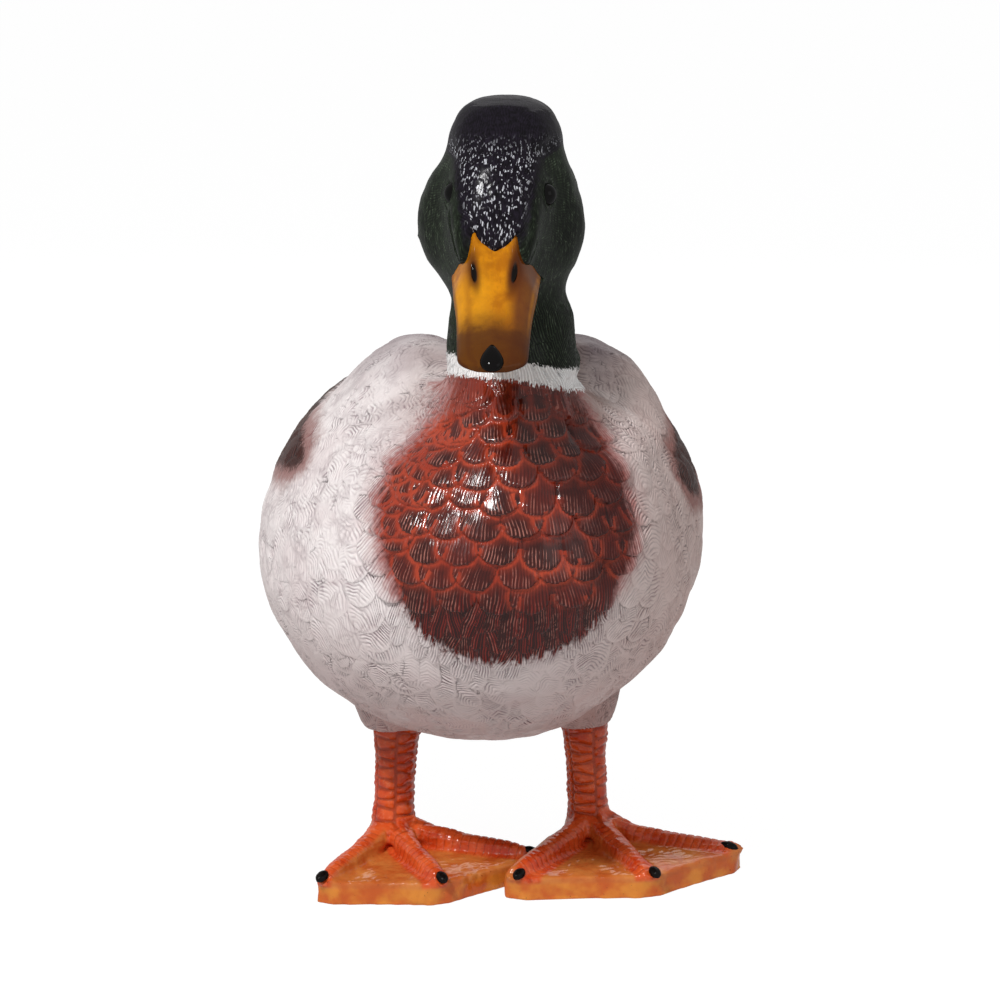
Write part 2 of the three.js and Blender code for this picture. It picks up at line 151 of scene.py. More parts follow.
def write_points(mesh: bpy.types.Mesh, points: Array) -> None:
    """Sets the mesh's vertices from points in mm."""
    mesh.vertices.foreach_set("co", (points * MM).astype(np.float32).ravel())
    mesh.update()


def read_normals(mesh: bpy.types.Mesh) -> Array:
    """The outward direction at each vertex."""
    return taken(mesh.vertex_normals, "vector", 3).astype(float)


def write_field(mesh: bpy.types.Mesh, name: str, values: Array) -> None:
    """Keeps a number or a vector for each vertex, which a material can read by its name.

    Args:
        mesh: The mesh.
        name: The field's name.
        values: One number, or one row of three, for each vertex.
    """
    kind, key = ("FLOAT", "value") if values.ndim == 1 else ("FLOAT_VECTOR", "vector")
    made = mesh.attributes.new(name, kind, "POINT")
    made.data.foreach_set(key, values.astype(np.float32).ravel())


def mesh_from(held: bmesh.types.BMesh, name: str) -> bpy.types.Mesh:
    """Makes a mesh of what was modelled, and frees the rest.

    Args:
        held: What was modelled.
        name: The mesh's name.

    Returns:
        The mesh.
    """
    mesh = bpy.data.meshes.new(name)
    held.to_mesh(mesh)
    held.free()
    return mesh


def link(mesh: bpy.types.Mesh, name: str) -> bpy.types.Object:
    """A new object in the scene with that mesh.

    Args:
        mesh: The mesh.
        name: The object's name.

    Returns:
        The object.
    """
    piece = bpy.data.objects.new(name, mesh)
    bpy.context.scene.collection.objects.link(piece)
    return piece


def finished(piece: bpy.types.Object) -> bpy.types.Object:
    """Applies the piece's modifiers to its mesh.

    Args:
        piece: The piece.

    Returns:
        The same piece.
    """
    graph = bpy.context.evaluated_depsgraph_get()
    mesh = bpy.data.meshes.new_from_object(piece.evaluated_get(graph))
    piece.modifiers.clear()
    old, piece.data = piece.data, mesh
    bpy.data.meshes.remove(old)
    mesh.name = piece.name
    return piece


def solid_copy(nodes: Iterable[str], name: str, grow: float = 0.0) -> bpy.types.Object:
    """One object from merged copies of solids, each pushed outwards a little.

    Args:
        nodes: The names of the solids.
        name: The new object's name.
        grow: How far each surface moves out, in mm.

    Returns:
        The new object, which is in the scene.
    """
    whole = bmesh.new()
    for node in nodes:
        part = bmesh.new()
        part.from_mesh(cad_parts[node].data)
        bmesh.ops.remove_doubles(part, verts=part.verts, dist=MERGE)
        bmesh.ops.recalc_face_normals(part, faces=part.faces)
        part.normal_update()
        for vertex in part.verts:
            vertex.co += vertex.normal * (grow * MM)
        held = mesh_from(part, "part")
        whole.from_mesh(held)
        bpy.data.meshes.remove(held)
    return link(mesh_from(whole, name), name)


def remeshed(piece: bpy.types.Object, voxel: float) -> bpy.types.Object:
    """Turns a piece into one closed surface of even small faces of the given size in mm.

    Args:
        piece: The piece.
        voxel: The size of a face, in mm.

    Returns:
        The same piece.
    """
    remesh = piece.modifiers.new("even", "REMESH")
    remesh.mode = "VOXEL"
    remesh.voxel_size = voxel * MM
    return finished(piece)


def subdivided(piece: bpy.types.Object, levels: int) -> bpy.types.Object:
    """Rounds and divides a piece, and shades it smooth.

    Args:
        piece: The piece.
        levels: How often each face is divided.

    Returns:
        The same piece.
    """
    rounder = piece.modifiers.new("rounder", "SUBSURF")
    rounder.levels = rounder.render_levels = levels
    finished(piece)
    smooth_shaded(piece.data)
    return piece


PULLS = (0.62, -0.6)  # the pull inwards and the push back of one round


def relaxed(mesh: bpy.types.Mesh, points: Array, times: int, amount: Array) -> Array:
    """Evens out points between their neighbours, with little loss of volume.

    Args:
        mesh: The mesh whose edges join the points.
        points: The points, in mm.
        times: How often the pull inwards and the push back are done.
        amount: How much each point takes part, from 0 to 1.

    Returns:
        The new points.
    """
    a, b = taken(mesh.edges, "vertices", 2, np.int32).T
    count = len(points)
    neighbours = np.maximum(np.bincount(a, minlength=count) + np.bincount(b, minlength=count), 1)
    share = amount[:, None]
    for _ in range(times):
        for pull in PULLS:
            mean = np.empty_like(points)
            for axis in range(3):
                mean[:, axis] = np.bincount(a, points[b, axis], count)
                mean[:, axis] += np.bincount(b, points[a, axis], count)
            points = points + pull * share * (mean / neighbours[:, None] - points)
    return points


def smooth_shaded(mesh: bpy.types.Mesh) -> None:
    """Makes every face of a mesh shade smoothly."""
    mesh.polygons.foreach_set("use_smooth", np.ones(len(mesh.polygons), bool))
    mesh.update()


def evened(
    nodes: Iterable[str], name: str, grow: float, voxel: float, times: int
) -> bpy.types.Object:
    """A smooth, evenly divided copy of solids.

    Args:
        nodes: The names of the solids.
        name: The new object's name.
        grow: How far each surface moves out, in mm.
        voxel: The size of a face, in mm.
        times: How often the surface is evened out.

    Returns:
        The new object.
    """
    piece = remeshed(solid_copy(nodes, name, grow), voxel)
    points = read_points(piece.data)
    write_points(piece.data, relaxed(piece.data, points, times, np.ones(len(points))))
    return piece


def place(
    piece: bpy.types.Object, paint: bpy.types.Material, slot: str, nodes: Sequence[str]
) -> None:
    """Paints a finished piece, puts it on the figure and reports it.

    Args:
        piece: The piece.
        paint: Its one paint.
        slot: The slot that its finish belongs to; not used.
        nodes: The solids that it stands for.
    """
    piece.data.materials.clear()
    piece.data.materials.append(paint)
    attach(piece, BODY)
    if nodes:
        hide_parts(*nodes)
    log.info("%s: %d faces", piece.name, len(piece.data.polygons))


class Side(Enum):
    """The duck's own two sides; the value is the sign of x there."""

    LEFT = 1
    RIGHT = -1

    @property
    def word(self) -> str:
        """The side's name in the names of the solids."""
        return self.name.lower()


# ---- Paint -----------------------------------------------------------------------------------

Number = Union[float, "Value"]
Tint = Union[str, "Value"]


class Value:
    """A number, colour or vector that flows through a material."""

    def __init__(self, net: "Net", socket: bpy.types.NodeSocket) -> None:
        """Holds an output of one of the net's nodes."""
        self.net = net
        self.socket = socket

    def math(self, operation: str, *others: Number) -> "Value":
        """A Math node on this value and others."""
        sockets = dict(enumerate((self, *others)))
        return self.net.node("ShaderNodeMath", {"operation": operation}, sockets)

    def __add__(self, other: Number) -> "Value":
        """This plus other."""
        return self.math("ADD", other)

    __radd__ = __add__

    def __mul__(self, other: Number) -> "Value":
        """This times other."""
        return self.math("MULTIPLY", other)

    __rmul__ = __mul__

    def __sub__(self, other: Number) -> "Value":
        """This less other."""
        return self.math("SUBTRACT", other)

    def __rsub__(self, other: float) -> "Value":
        """A number less this."""
        return self.net.node("ShaderNodeMath", {"operation": "SUBTRACT"}, {0: other, 1: self})

    def part(self, axis: int) -> "Value":
        """One of a vector's three numbers."""
        return self.net.node("ShaderNodeSeparateXYZ", {}, {0: self}, axis)

    def parts(self) -> tuple["Value", "Value", "Value"]:
        """A vector's three numbers."""
        return self.part(0), self.part(1), self.part(2)

    def step(self, low: float, high: float) -> "Value":
        """A smooth step from 0 at low to 1 at high; low may be the larger one.

        Args:
            low: Where it starts.
            high: Where it ends.

        Returns:
            The step.
        """
        sockets = {0: self, 1: low, 2: high, 3: 0.0, 4: 1.0}
        settings = {"interpolation_type": "SMOOTHSTEP"}
        if low > high:
            sockets = {0: self, 1: high, 2: low, 3: 1.0, 4: 0.0}
        return self.net.node("ShaderNodeMapRange", settings, sockets)

    def pick(self, below: Tint, above: Tint) -> "Value":
        """Mixes two colours by this mask: below where it is 0, above where it is 1."""
        settings = {"data_type": "RGBA"}
        return self.net.node("ShaderNodeMix", settings, {0: self, 6: below, 7: above}, 2)

    def under(self, *layers: tuple["Value", Tint]) -> "Value":
        """The colour with others laid over it.

        Args:
            layers: How much of each is seen, 0 to 1, and its colour, from the lowest up.

        Returns:
            The colour.
        """
        color = self
        for share, tint in layers:
            color = share.pick(color, tint)
        return color

    def scaled(self, x: float, y: float, z: float) -> "Value":
        """This vector with its three numbers multiplied."""
        settings = {"operation": "MULTIPLY"}
        return self.net.node("ShaderNodeVectorMath", settings, {0: self, 1: (x, y, z)})


class Net:
    """The nodes of one material."""

    def __init__(self, name: str) -> None:
        """Starts a material with that name."""
        self.material = bpy.data.materials.new(name)
        self.material.use_nodes = True
        self.tree = self.material.node_tree
        self.shader = self.tree.nodes["Principled BSDF"]

    def node(
        self,
        kind: str,
        settings: Optional[dict] = None,
        sockets: Optional[dict] = None,
        output: int = 0,
    ) -> Value:
        """Makes a node.

        Args:
            kind: The node's type.
            settings: Its own settings, which are set first.
            sockets: What goes into its sockets: numbers, colour codes or other values.
            output: Which of its outputs is wanted.

        Returns:
            That output.
        """
        made = self.tree.nodes.new(kind)
        for key, value in (settings or {}).items():
            setattr(made, key, value)
        for key, value in (sockets or {}).items():
            self.feed(made.inputs[key], value)
        return Value(self, made.outputs[output])

    def feed(self, socket: bpy.types.NodeSocket, value: object) -> None:
        """Sets a socket, or links a value to it.

        Args:
            socket: The socket.
            value: A number, a vector, a colour code or a value.
        """
        if isinstance(value, Value):
            self.tree.links.new(value.socket, socket)
        elif isinstance(value, str):
            socket.default_value = linear(value)
        else:
            socket.default_value = value

    def stored(self, name: str) -> Value:
        """A vector that the mesh keeps at its vertices."""
        return self.node("ShaderNodeAttribute", {"attribute_name": name}, {}, 1)

    def place(self) -> Value:
        """The place on the figure, in metres."""
        return self.node("ShaderNodeTexCoord", {}, {}, 3)

    def wave(self, phase: Value) -> Value:
        """A wave, 0 to 1, that is 1 where the phase is a whole number."""
        return (phase * (2 * math.pi)).math("COSINE") * 0.5 + 0.5

    def noise(self, where: Value, size: float, detail: float = 2.0, rough: float = 0.5) -> Value:
        """Cloudy noise, 0 to 1, with clouds of about that size in the vector's own unit."""
        sockets = {"Vector": where, "Scale": 1 / size, "Detail": detail, "Roughness": rough}
        return self.node("ShaderNodeTexNoise", {}, sockets)

    def chance(self, number: Value) -> Value:
        """A random number, 0 to 1, for each whole number."""
        settings = {"noise_dimensions": "1D"}
        return self.node("ShaderNodeTexWhiteNoise", settings, {"W": number})

    def bump(self, height: Value, depth: float, under: Optional[Value] = None) -> Value:
        """A surface direction from a height of 0 to 1 that stands for a depth in mm."""
        sockets = {"Height": height, "Distance": depth * MM, "Strength": 1.0}
        return self.node("ShaderNodeBump", {}, sockets | ({"Normal": under} if under else {}))

    def dress(
        self, color: Value, bump: Value, rough: float, coat: Number, coat_rough: float
    ) -> bpy.types.Material:
        """Ends the material.

        Args:
            color: Its colour.
            bump: The direction of its surface.
            rough: How rough it is.
            coat: How much clear coat it has.
            coat_rough: How rough the coat is.

        Returns:
            The material.
        """
        sockets = {
            "Specular IOR Level": 0.0,
            "Base Color": color,
            "Normal": bump,
            "Roughness": rough,
            "Coat Weight": coat,
            "Coat Roughness": coat_rough,
        }
        for name, value in sockets.items():
            self.feed(self.shader.inputs[name], value)
        return self.material


# ---- How the plumage lies --------------------------------------------------------------------

# Cross-sections from the bill to the tail: y and z of the back point and of the belly point.
SECTIONS = np.array(
    [
        *((-155.5, 287.5, -156.4, 274.0), (-152.2, 300.2, -153.8, 271.8)),
        *((-142.9, 320.5, -152.2, 270.2), (-124.4, 339.2, -151.3, 269.5)),
        *((-96.7, 340.8, -148.8, 268.0), (-74.9, 321.2, -145.4, 266.5)),
        *((-69.8, 293.5, -142.1, 265.0), (-74.9, 272.5, -137.1, 262.8)),
        *((-77.8, 250.0, -132.8, 256.0), (-75.8, 234.0, -134.8, 242.5)),
        *((-73.8, 225.0, -138.8, 234.0), (-72.0, 229.0, -159.2, 192.2)),
        *((-70.4, 229.7, -167.1, 142.4), (-67.9, 230.7, -140.3, 97.5)),
        *((-58.5, 232.0, -96.2, 72.6), (-36.4, 232.0, -49.0, 66.0)),
        *((-1.7, 227.0, -4.9, 69.3), (45.5, 217.1, 39.2, 79.3)),
        *((89.6, 202.1, 83.3, 100.9), (121.1, 189.7, 114.8, 127.4)),
        (143.2, 178.9, 136.8, 154.0),
    ]
)
HEAD_TURN = math.radians(10)
NECK_LEAN, HEAD_LEAN = 6.0, 3.0  # how far neck and head lie to the left of the mid-plane


def straight_head(points: Array, share: Union[float, Array] = 1.0) -> Array:
    """Points on the turned head, carried back to a head that looks straight forward.

    Args:
        points: The points, in mm.
        share: How much of turn and lean they have, from 0 to 1.

    Returns:
        The points on the straight head.
    """
    x = points[:, 0] - MIDDLE_X - HEAD_LEAN * share
    y = points[:, 1] - NECK_AXIS_Y
    angle = HEAD_TURN * share
    turned_x = x * np.cos(angle) - y * np.sin(angle)
    turned_y = x * np.sin(angle) + y * np.cos(angle)
    return np.stack([turned_x, turned_y + NECK_AXIS_Y, points[:, 2]], 1)


def turned_head(points: Array) -> Array:
    """Points of a straight head, carried to the turned one.

    Args:
        points: The points, in mm.

    Returns:
        The points on the turned head.
    """
    y = points[:, 1] - NECK_AXIS_Y
    cos, sin = math.cos(HEAD_TURN), math.sin(HEAD_TURN)
    x = points[:, 0] * cos + y * sin + MIDDLE_X + HEAD_LEAN
    return np.stack([x, -points[:, 0] * sin + y * cos + NECK_AXIS_Y, points[:, 2]], 1)


def outline_distance(x: Array, z: Array, corners: Array) -> Array:
    """How far points lie inside a closed outline, in its own unit; outside it is negative.

    Args:
        x: The points' places across.
        z: The points' heights.
        corners: The outline's corners.

    Returns:
        The distances.
    """
    best = np.full(len(x), np.inf)
    inside = np.zeros(len(x), bool)
    for (ax, az), (bx, bz) in zip(corners, np.roll(corners, -1, 0)):
        dx, dz = bx - ax, bz - az
        t = np.clip(((x - ax) * dx + (z - az) * dz) / (dx * dx + dz * dz), 0, 1)
        best = np.minimum(best, np.hypot(x - ax - t * dx, z - az - t * dz))
        crosses = (az > z) != (bz > z)
        inside ^= crosses & (x < ax + (z - az) * dx / (dz if abs(dz) > 1e-9 else 1e-9))
    return np.where(inside, best, -best)


class Way:
    """A grid of surface points that the rows of feathers follow, from the bill to the tail."""

    ALONG, AROUND = 361, 144  # how many points it has each way
    RAY = 160  # how far from the middle the surface may lie

    def __init__(self, tree: BVHTree) -> None:
        """Casts a ray for each point of the grid, from the middle of its section outwards.

        Args:
            tree: The surface.
        """
        self.tree = tree
        self.s = np.linspace(0, 1, self.ALONG)
        self.angles = np.linspace(-90, 270, self.AROUND, endpoint=False)
        self.sides = np.where(self.angles > 90, 180 - self.angles, self.angles)
        profile = curve_at(SECTIONS, self.s)
        turn = HEAD_TURN * (1 - ease(0.35, 0.5, self.s))
        lean = NECK_LEAN * (1 - ease(0.5, 0.65, self.s))
        lean += (HEAD_LEAN - NECK_LEAN) * (1 - ease(0.3, 0.5, self.s))
        reach = (profile[:, ::2] - NECK_AXIS_Y).T
        x, y = reach * np.sin(turn) + MIDDLE_X + lean, reach * np.cos(turn) + NECK_AXIS_Y
        back, belly = np.stack([x, y, profile[:, 1::2].T], 2)
        up = unit(back - belly)
        aside = np.stack([np.cos(turn), -np.sin(turn), np.zeros_like(turn)], 1)
        middle = (back + belly) / 2
        self.points = np.empty((self.ALONG, self.AROUND, 3))
        rad = np.radians(self.angles)
        for i in range(self.ALONG):
            for j in range(self.AROUND):
                ray = aside[i] * math.cos(rad[j]) + up[i] * math.sin(rad[j])
                hit = tree.ray_cast(Vector(middle[i]), Vector(ray), self.RAY)[0]
                self.points[i, j] = middle[i] + ray * 12 if hit is None else hit
        self.flow = unit(np.gradient(self.points, axis=0))

    def find(self, points: Array) -> tuple[Array, Array]:
        """How far along the rows points lie, and how far round from the belly to the back.

        Args:
            points: The points, in mm.

        Returns:
            The shares along, and the angles from -90 to 90.
        """
        flat = self.points.reshape(-1, 3)
        tree = KDTree(len(flat))
        for number, spot in enumerate(flat):
            tree.insert(spot, number)
        tree.balance()
        nearest = np.array([tree.find(spot)[1] for spot in points])
        i, j = nearest // self.AROUND, nearest % self.AROUND
        before, after = np.maximum(i - 1, 0), np.minimum(i + 1, self.ALONG - 1)
        left, right = (j - 1) % self.AROUND, (j + 1) % self.AROUND
        grid = self.points
        along = (grid[after, j] - grid[before, j]) / (after - before)[:, None]
        aside = (grid[i, right] - grid[i, left]) / 2
        away = points - flat[nearest]
        a, b, c = (along * along).sum(1), (along * aside).sum(1), (aside * aside).sum(1)
        d, e = (along * away).sum(1), (aside * away).sum(1)
        base = np.maximum(a * c - b * b, 1e-6)
        more_i = np.clip((c * d - b * e) / base, -0.7, 0.7)
        more_j = np.clip((a * e - b * d) / base, -0.7, 0.7)
        s = (i + more_i) / (self.ALONG - 1)
        angle = self.angles[j] + more_j * 360 / self.AROUND
        return s, np.where(angle > 90, 180 - angle, np.where(angle < -90, -180 - angle, angle))

    def read(self, grid: Array, i: Array, j: Array) -> Array:
        """Values of a grid at broken row and column numbers; the columns go round.

        Args:
            grid: The grid of values.
            i: The row numbers.
            j: The column numbers.

        Returns:
            The values.
        """
        i0 = np.clip(np.floor(i).astype(int), 0, self.ALONG - 2)
        j0 = np.floor(j).astype(int)
        fi, fj = i - i0, j - j0
        if grid.ndim == 3:
            fi, fj = fi[:, None], fj[:, None]
        a, b = j0 % self.AROUND, (j0 + 1) % self.AROUND
        low = grid[i0, a] * (1 - fj) + grid[i0, b] * fj
        high = grid[i0 + 1, a] * (1 - fj) + grid[i0 + 1, b] * fj
        return low * (1 - fi) + high * fi


# ---- Regions of the plumage ------------------------------------------------------------------


@dataclass(frozen=True)
class Cut:
    """How the feathers of a region are cut, in mm."""

    width: float  # across a feather
    row: float  # from one row to the next
    rows_long: float  # a feather's length in rows
    step: float  # how far a tip stands over the next row
    barb: float  # from one groove to the next
    groove: float  # how deep the grooves are
    slant: float  # how far the grooves lean back from the shaft; above 9 they run along it
    stray: float  # how far a feather may turn from the flow, in degrees
    blunt: float = 2.0  # how square the tip is; 2 is round
    jitter: float = 0.08  # how far a feather may lie from its place, as a share of its width


class Region(Enum):
    """The regions of the plumage and how their feathers are cut."""

    HEAD = Cut(6, 5, 2.4, 0.05, 1.0, 0.08, 10, 12, 2.0, 0.3)
    NECK = Cut(7, 11, 2.4, 0.06, 1.15, 0.26, 10, 4, 2.0, 0.2)
    BREAST_TOP = Cut(13.5, 8.2, 2.2, 1.3, 1.3, 0.3, 10, 8, 2.3, 0.14)
    BREAST = Cut(16.6, 10.0, 2.1, 1.8, 1.3, 0.3, 10, 8, 2.3, 0.14)
    BREAST_FRINGE = Cut(6.5, 8, 2.6, 0.3, 1.05, 0.34, 10, 9, 1.7, 0.35)
    BODY = Cut(19, 14, 2.2, 0.5, 1.8, 0.5, 0.7, 20, 2.0, 0.2)
    BELLY = Cut(11, 9, 2.6, 0.25, 1.6, 0.55, 1.0, 32, 1.6, 0.4)
    BACK = Cut(17, 13, 2.2, 0.8, 1.9, 0.34, 0.8, 9, 2.0, 0.12)
    WING = Cut(16, 12, 2.2, 1.2, 1.7, 0.3, 0.9, 4, 2.2, 0.05)
    RUMP = Cut(13, 10, 2.2, 0.7, 1.6, 0.3, 1.0, 10, 2.0, 0.15)


REGIONS = list(Region)

# The breast patch as seen from the front, x and z.
BREAST_OUTLINE = np.array(
    [
        *((-29, 246), (-28, 226), (-31, 219), (-40, 209), (-51, 198), (-57.3, 186)),
        *((-58.3, 176), (-56.8, 163), (-52.5, 152), (-46, 141), (-36.5, 132), (-26.6, 126.7)),
        *((-15, 124), (-3, 124.5), (9, 127.4), (21, 132), (31.4, 141.8), (38.5, 152)),
        *((43.6, 163), (46.2, 174), (43.8, 185), (40.3, 197.6), (34, 209), (27.5, 218.7)),
        *((24, 228), (24, 246)),
    ]
)
WING_LIFT = 3.2  # how far the wing's rear stands over the flank
WING_REAR = [(60, 156), (108, 158), (128, 171), (128, 184), (100, 197), (40, 207)]
WING_FRONTS = (  # the front of the dark part of the wing, y and z, on the right and the left
    [
        *((10, 203), (-20, 203), (-50, 200), (-70, 195)),
        *((-76, 188), (-66, 181), (-30, 177), (20, 166)),
    ],
    [
        *((10, 203), (-50, 202), (-84, 195), (-95, 185)),
        *((-92, 172), (-74, 169), (-48, 178), (20, 172)),
    ],
)


def breast_inside(points: Array) -> Array:
    """How far points lie inside the breast patch, in mm."""
    front = outline_distance(points[:, 0], points[:, 2], BREAST_OUTLINE)
    return np.minimum(front, -84 - points[:, 1])


COLLAR_SLOPE = 9 / 65
COLLAR_TOP = 9.0  # the collar's width
COLLAR_MIDDLE = (MIDDLE_X + NECK_LEAN - 5.4, NECK_AXIS_Y)
COLLAR_RADIUS = 28.9


def collar_height(points: Array) -> Array:
    """How far points lie above the white collar's lower edge; it slopes up forwards.

    Args:
        points: The points, in mm.

    Returns:
        The heights in mm, less where a point lies outside the neck.
    """
    x, y, z = points.T
    edge = 224.6 + (-73.8 - y) * COLLAR_SLOPE - 0.07 * (x + 14)
    edge -= 0.2 * np.clip(x + 6, 0, 24)
    away = points[:, :2] - COLLAR_MIDDLE
    outside = np.maximum(np.hypot(away[:, 0], 0.87 * away[:, 1]) - COLLAR_RADIUS, 0)
    outside *= 0.3 + 1.1 * ease(-88, -74, y)
    outside += 1.5 * np.maximum(x - 34, 0) * ease(252, 240, z)
    return (z - edge) / math.hypot(1, COLLAR_SLOPE) - outside


def wing_inside(points: Array) -> Array:
    """How far points lie inside the dark panel of the folded wing, in mm.

    Args:
        points: The points, in mm.

    Returns:
        The distances.
    """
    inside = np.full(len(points), -40.0)
    aside = points[:, 0] - MIDDLE_X
    for front, on_side in zip(WING_FRONTS, (aside < 0, aside > 0)):
        corners = np.array([*front, *WING_REAR])
        inside[on_side] = outline_distance(*points[on_side][:, 1:].T, corners)
    return np.minimum(inside, np.abs(aside) - 34)


def region_of(points: Array, s: Array, side: Array) -> Array:
    """The number of the region that each point lies in.

    Args:
        points: The points, in mm.
        s: How far along each lies, from the bill to the tail.
        side: How far round each lies, from -90 at the belly to 90 at the back.

    Returns:
        The numbers.
    """
    _, y, z = points.T
    patch = breast_inside(points)
    number = np.full(len(points), REGIONS.index(Region.BODY))
    for held, region in (
        ((z < 126) & (y < 70), Region.BELLY),
        (side > 62, Region.BACK),
        (y > 92, Region.RUMP),
        (wing_inside(points) > -1, Region.WING),
        ((patch > -1) & (z > 147), Region.BREAST),
        ((patch > -1) & (z > 206), Region.BREAST_TOP),
        ((patch > -4) & (z <= 147), Region.BREAST_FRINGE),
        (collar_height(points) > -1.5, Region.NECK),
        (s < 0.36, Region.HEAD),
    ):
        number[held] = REGIONS.index(region)
    return number


@dataclass
class Relief:
    """The feathers' relief over a dense mesh: the topmost feather at each vertex."""

    points: Array
    normals: Array
    cell: float = 6.0

    def __post_init__(self) -> None:
        """Starts with no feathers, and sorts the vertices into the cells of a grid."""
        count = len(self.points)
        self.top, self.rim = np.full(count, -1e9), np.full(count, -9.0)
        self.height, self.across, self.along = np.zeros((3, count))
        self.under = np.full(count, 9.0)
        self.feather = np.zeros(count, int)
        keys = np.floor(self.points / self.cell).astype(np.int64)
        code = self._code(*keys.T)
        self.order = np.argsort(code, kind="stable")
        codes, starts = np.unique(code[self.order], return_index=True)
        ends = np.append(starts[1:], count)
        self.cells = {int(c): (int(a), int(b)) for c, a, b in zip(codes, starts, ends)}

    @staticmethod
    def _code(x: Array, y: Array, z: Array) -> Array:
        """One number for a cell of the grid that sorts the vertices."""
        return ((x + 512) * 1024 + (y + 512)) * 1024 + (z + 512)

    def near(self, centre: Array, reach: float) -> Array:
        """The numbers of the vertices in the cells within reach of a point.

        Args:
            centre: The point, in mm.
            reach: How far they may lie from it.

        Returns:
            The vertices' numbers.
        """
        low = np.floor((centre - reach) / self.cell).astype(int)
        high = np.floor((centre + reach) / self.cell).astype(int)
        found = []
        for x in range(low[0], high[0] + 1):
            for y in range(low[1], high[1] + 1):
                for z in range(low[2], high[2] + 1):
                    span = self.cells.get(int(self._code(x, y, z)))
                    if span:
                        found.append(self.order[span[0] : span[1]])
        return np.concatenate(found) if found else np.empty(0, int)

    def press(self, number: int, feather: "Feather") -> None:
        """Lays one feather over the surface.

        Args:
            number: The feather's number.
            feather: The feather.
        """
        cut, normal, length = feather.cut, feather.normal, feather.length
        index = self.near(feather.root, math.hypot(length, cut.width) / 2 + 4)
        if not len(index):
            return
        away = self.points[index] - feather.root
        held = (np.abs(away @ normal) < 12) & (self.normals[index] @ normal > 0.1)
        index, away = index[held], away[held]
        along, across = away @ feather.flow, away @ np.cross(normal, feather.flow)
        half = cut.width / 2
        bend = min(length * 0.45, half * (1.9 - 0.4 * cut.blunt))  # the length of the tip
        over = np.maximum(along - (length / 2 - bend), 0) / bend
        behind = np.maximum(-along - length / 2, 0) / bend
        wide = np.abs(across) / half
        ring = (over**cut.blunt + behind**cut.blunt + wide**cut.blunt) ** (1 / cut.blunt)
        edge = (1 - ring) * half
        height = cut.step * along / cut.row + 0.3 * cut.step * (1 - (across / half) ** 2)
        top = np.where(edge > 0, height + feather.rank, edge - 100)
        wins = top > self.top[index]
        won = index[wins]
        self.top[won] = top[wins]
        self.height[won] = height[wins]
        self.across[won] = across[wins]
        self.along[won] = along[wins] / length
        self.rim[won] = edge[wins]
        self.feather[won] = number
        shaded = (edge <= 0) & (along > 0.12 * length)
        self.under[index[shaded]] = np.minimum(self.under[index[shaded]], -edge[shaded])


@dataclass(frozen=True)
class Feather:
    """One feather's place on the figure."""

    root: Array
    flow: Array
    normal: Array
    cut: Cut
    rank: float = 0.0  # what puts a whole set of feathers above others, in mm of height

    @property
    def length(self) -> float:
        """How long it is, in mm."""
        return self.cut.row * self.cut.rows_long


def level_rows(way: Way, count: Array) -> Array:
    """What to add to the row numbers so that the rows on neck and breast run level.

    Args:
        way: The grid of surface points.
        count: The row numbers along each of the grid's lines.

    Returns:
        The change at each point of the grid.
    """
    z = way.points[:, :, 2]
    bottom = int(np.argmin(z[:, 0]))
    middle_z = np.minimum.accumulate(z[: bottom + 1, 0])
    level = np.interp(-z, -middle_z, count[: bottom + 1, 0])
    share = ease(112, 62, 90 + way.sides)[None, :] * ease(88, 120, z)
    share = share * ease(0.36, 0.42, way.s)[:, None] * ease(0, -60, way.points[:, :, 1])
    return share * (level - count)


def laid(way: Way, spot: Array, flow: Array, cut: Cut, rank: float = 0.0) -> Feather:
    """A feather whose root lies on the surface and whose flow lies along it."""
    root, normal = (np.array(found) for found in way.tree.find_nearest(Vector(spot))[:2])
    return Feather(root, unit(flow - normal * (flow @ normal)), normal, cut, rank)


def under_layer(way: Way, region: Array) -> list[Feather]:
    """Lays an under layer of feathers on the body, which shows in any gap.

    Args:
        way: The grid of surface points.
        region: The region's number at each of them.

    Returns:
        The feathers.
    """
    feathers = []
    for i in range(130, way.ALONG - 4, 5):
        for j in range(i % 2, way.AROUND, 4):
            kind = REGIONS[region[i, j]]
            if kind in (Region.BODY, Region.BELLY, Region.BACK, Region.WING, Region.RUMP):
                feathers.append(laid(way, way.points[i, j], way.flow[i, j], kind.value, -2.5))
    return feathers


def row_places(way: Way, rising: Array, width: Array, row: int) -> tuple[Array, Array]:
    """The places of the feathers of one row, each a feather's width from the next.

    Args:
        way: The grid of surface points.
        rising: The row numbers along each of the grid's lines, which never fall.
        width: How wide a feather is at each of its points.
        row: The row's number.

    Returns:
        Broken row and column numbers of the grid; none where the row has no feather.
    """
    lines, columns = np.arange(way.ALONG, dtype=float), np.arange(way.AROUND, dtype=float)
    across = [np.interp(row, rising[:, j], lines, right=-1) for j in range(way.AROUND)]
    across = np.array(across)
    held = across >= 0
    where = way.read(way.points, np.where(held, across, way.ALONG - 1), columns)
    wide = way.read(width, np.where(held, across, 0), columns)
    gaps = np.linalg.norm(np.roll(where, -1, 0) - where, axis=1) / (wide * 0.9)
    gaps[~(held & np.roll(held, -1))] = 0
    total = np.concatenate([[0], np.cumsum(gaps)])
    places = int(round(total[-1]))
    if places < 1:
        return np.empty(0), np.empty(0)
    spots = (np.arange(places) + (0.5 if row % 2 else 0)) * total[-1] / places
    j = np.interp(spots, total, np.arange(way.AROUND + 1))
    i = np.interp(j, np.arange(way.AROUND + 1), np.append(across, across[0]))
    keep = (i >= 1) & (i < way.ALONG - 2)
    return i[keep], j[keep]


